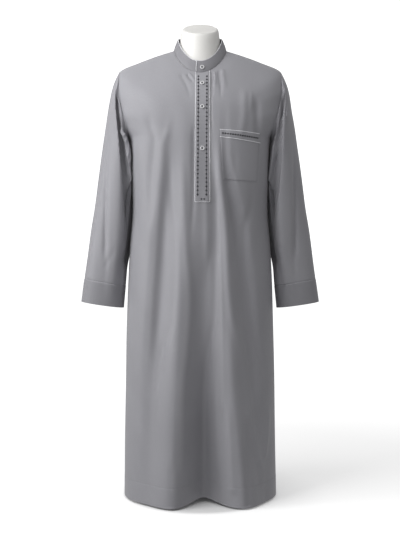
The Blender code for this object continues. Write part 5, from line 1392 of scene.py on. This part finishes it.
# ---------------------------------------------------------------- stage, light and camera
def stage_plane(name, corners, mat):
    mesh = bpy.data.meshes.new(name)
    mesh.from_pydata(corners, [], [(0, 1, 2, 3)])
    mesh.materials.append(mat)
    obj = bpy.data.objects.new(name, mesh)
    bpy.context.scene.collection.objects.link(obj)
    obj.visible_diffuse = obj.visible_glossy = False      # the white stage throws no light up at the robe
    return obj


def stage_material(name, colour, glow):
    mat = bpy.data.materials.new(name)
    _, shader = nodes_of(mat)
    shader.inputs["Base Color"].default_value = colour + (1.0,)
    shader.inputs["Roughness"].default_value = 1.0
    shader.inputs["Specular IOR Level"].default_value = 0.0
    shader.inputs["Emission Color"].default_value = (1, 1, 1, 1)
    shader.inputs["Emission Strength"].default_value = glow
    return mat


def floor_material():
    """White floor whose own glow is painted shade near the robe: almost none under its hem and weak round it, so that
    its shadow shows, and full far off.
    """
    mat = stage_material("floor_white_painted_shade", (0.90, 0.90, 0.90), 0.62)
    tree = mat.node_tree
    shader = [n for n in tree.nodes if n.type == "BSDF_PRINCIPLED"][0]
    place, far, glow = (tree.nodes.new(k) for k in ("ShaderNodeTexCoord", "ShaderNodeVectorMath", "ShaderNodeValToRGB"))
    far.operation = "LENGTH"
    share = tree.nodes.new("ShaderNodeMath")
    share.operation = "MULTIPLY"
    share.inputs[1].default_value = 1 / 3.0
    tree.links.new(place.outputs["Object"], far.inputs[0])
    tree.links.new(far.outputs["Value"], share.inputs[0])
    tree.links.new(share.outputs[0], glow.inputs["Fac"])
    ramp = glow.color_ramp
    # painted shade: glow against distance from the robe, in shares of 3 m; nearly none under the hem, weak near it,
    # full far off
    shade_stops = ((0.072, 0.02), (0.079, 0.38), (0.130, 0.46), (0.340, 0.50), (0.800, 0.80))
    ramp.elements[0].position, ramp.elements[1].position = shade_stops[0][0], shade_stops[-1][0]
    for position, _ in shade_stops[1:-1]:
        ramp.elements.new(position)
    for stop, (_, value) in zip(ramp.elements, shade_stops):
        stop.color = (value, value, value, 1.0)
    tree.links.new(glow.outputs["Color"], shader.inputs["Emission Strength"])
    return mat


stage_plane("floor", [(-14, -6, 0), (14, -6, 0), (14, 14, 0), (-14, 14, 0)], floor_material())
stage_plane("backdrop", [(-14, 13.5, -1), (14, 13.5, -1), (14, 13.5, 12), (-14, 13.5, 12)], stage_material("backdrop_white", (0.9, 0.9, 0.9), 0.95))


def area_light(name, place, target, size_x, size_y, watts, colour=(1, 1, 1)):
    data = bpy.data.lights.new(name, "AREA")
    data.shape, data.size, data.size_y, data.energy, data.color = "RECTANGLE", size_x, size_y, watts, colour
    obj = bpy.data.objects.new(name, data)
    obj.location = place
    way = np.array(target, float) - np.array(place, float)
    yaw = math.atan2(way[1], way[0]) - math.pi / 2
    tilt = math.atan2(way[2], math.hypot(way[0], way[1]))
    obj.rotation_euler = (math.pi / 2 + tilt, 0, yaw)
    bpy.context.scene.collection.objects.link(obj)
    return obj


area_light("key", (-1.13, -0.95, 1.83), (0, 0, 1.0), 1.0, 1.0, 18.3)
area_light("side", (-2.89, -0.77, 1.06), (0, 0, 0.8), 1.0, 1.0, 23.5)
area_light("top", (-0.30, -0.60, 2.80), (0, 0, 1.35), 1.2, 1.2, 6.0)
world = bpy.data.worlds.new("studio")
bpy.context.scene.world = world
world.use_nodes = True
world.node_tree.nodes["Background"].inputs["Color"].default_value = (1.0, 1.0, 1.0, 1.0)
world.node_tree.nodes["Background"].inputs["Strength"].default_value = 0.372

camera_data = bpy.data.cameras.new("camera")
camera_data.lens = 65.78
camera_data.sensor_width = 36.0
camera = bpy.data.objects.new("camera", camera_data)
camera.location = (-0.0003, -3.0, 0.793)
camera.rotation_euler = (math.radians(90 - 1.98), 0, 0)
bpy.context.scene.collection.objects.link(camera)
bpy.context.scene.camera = camera
bpy.context.scene.view_settings.view_transform = "Standard"
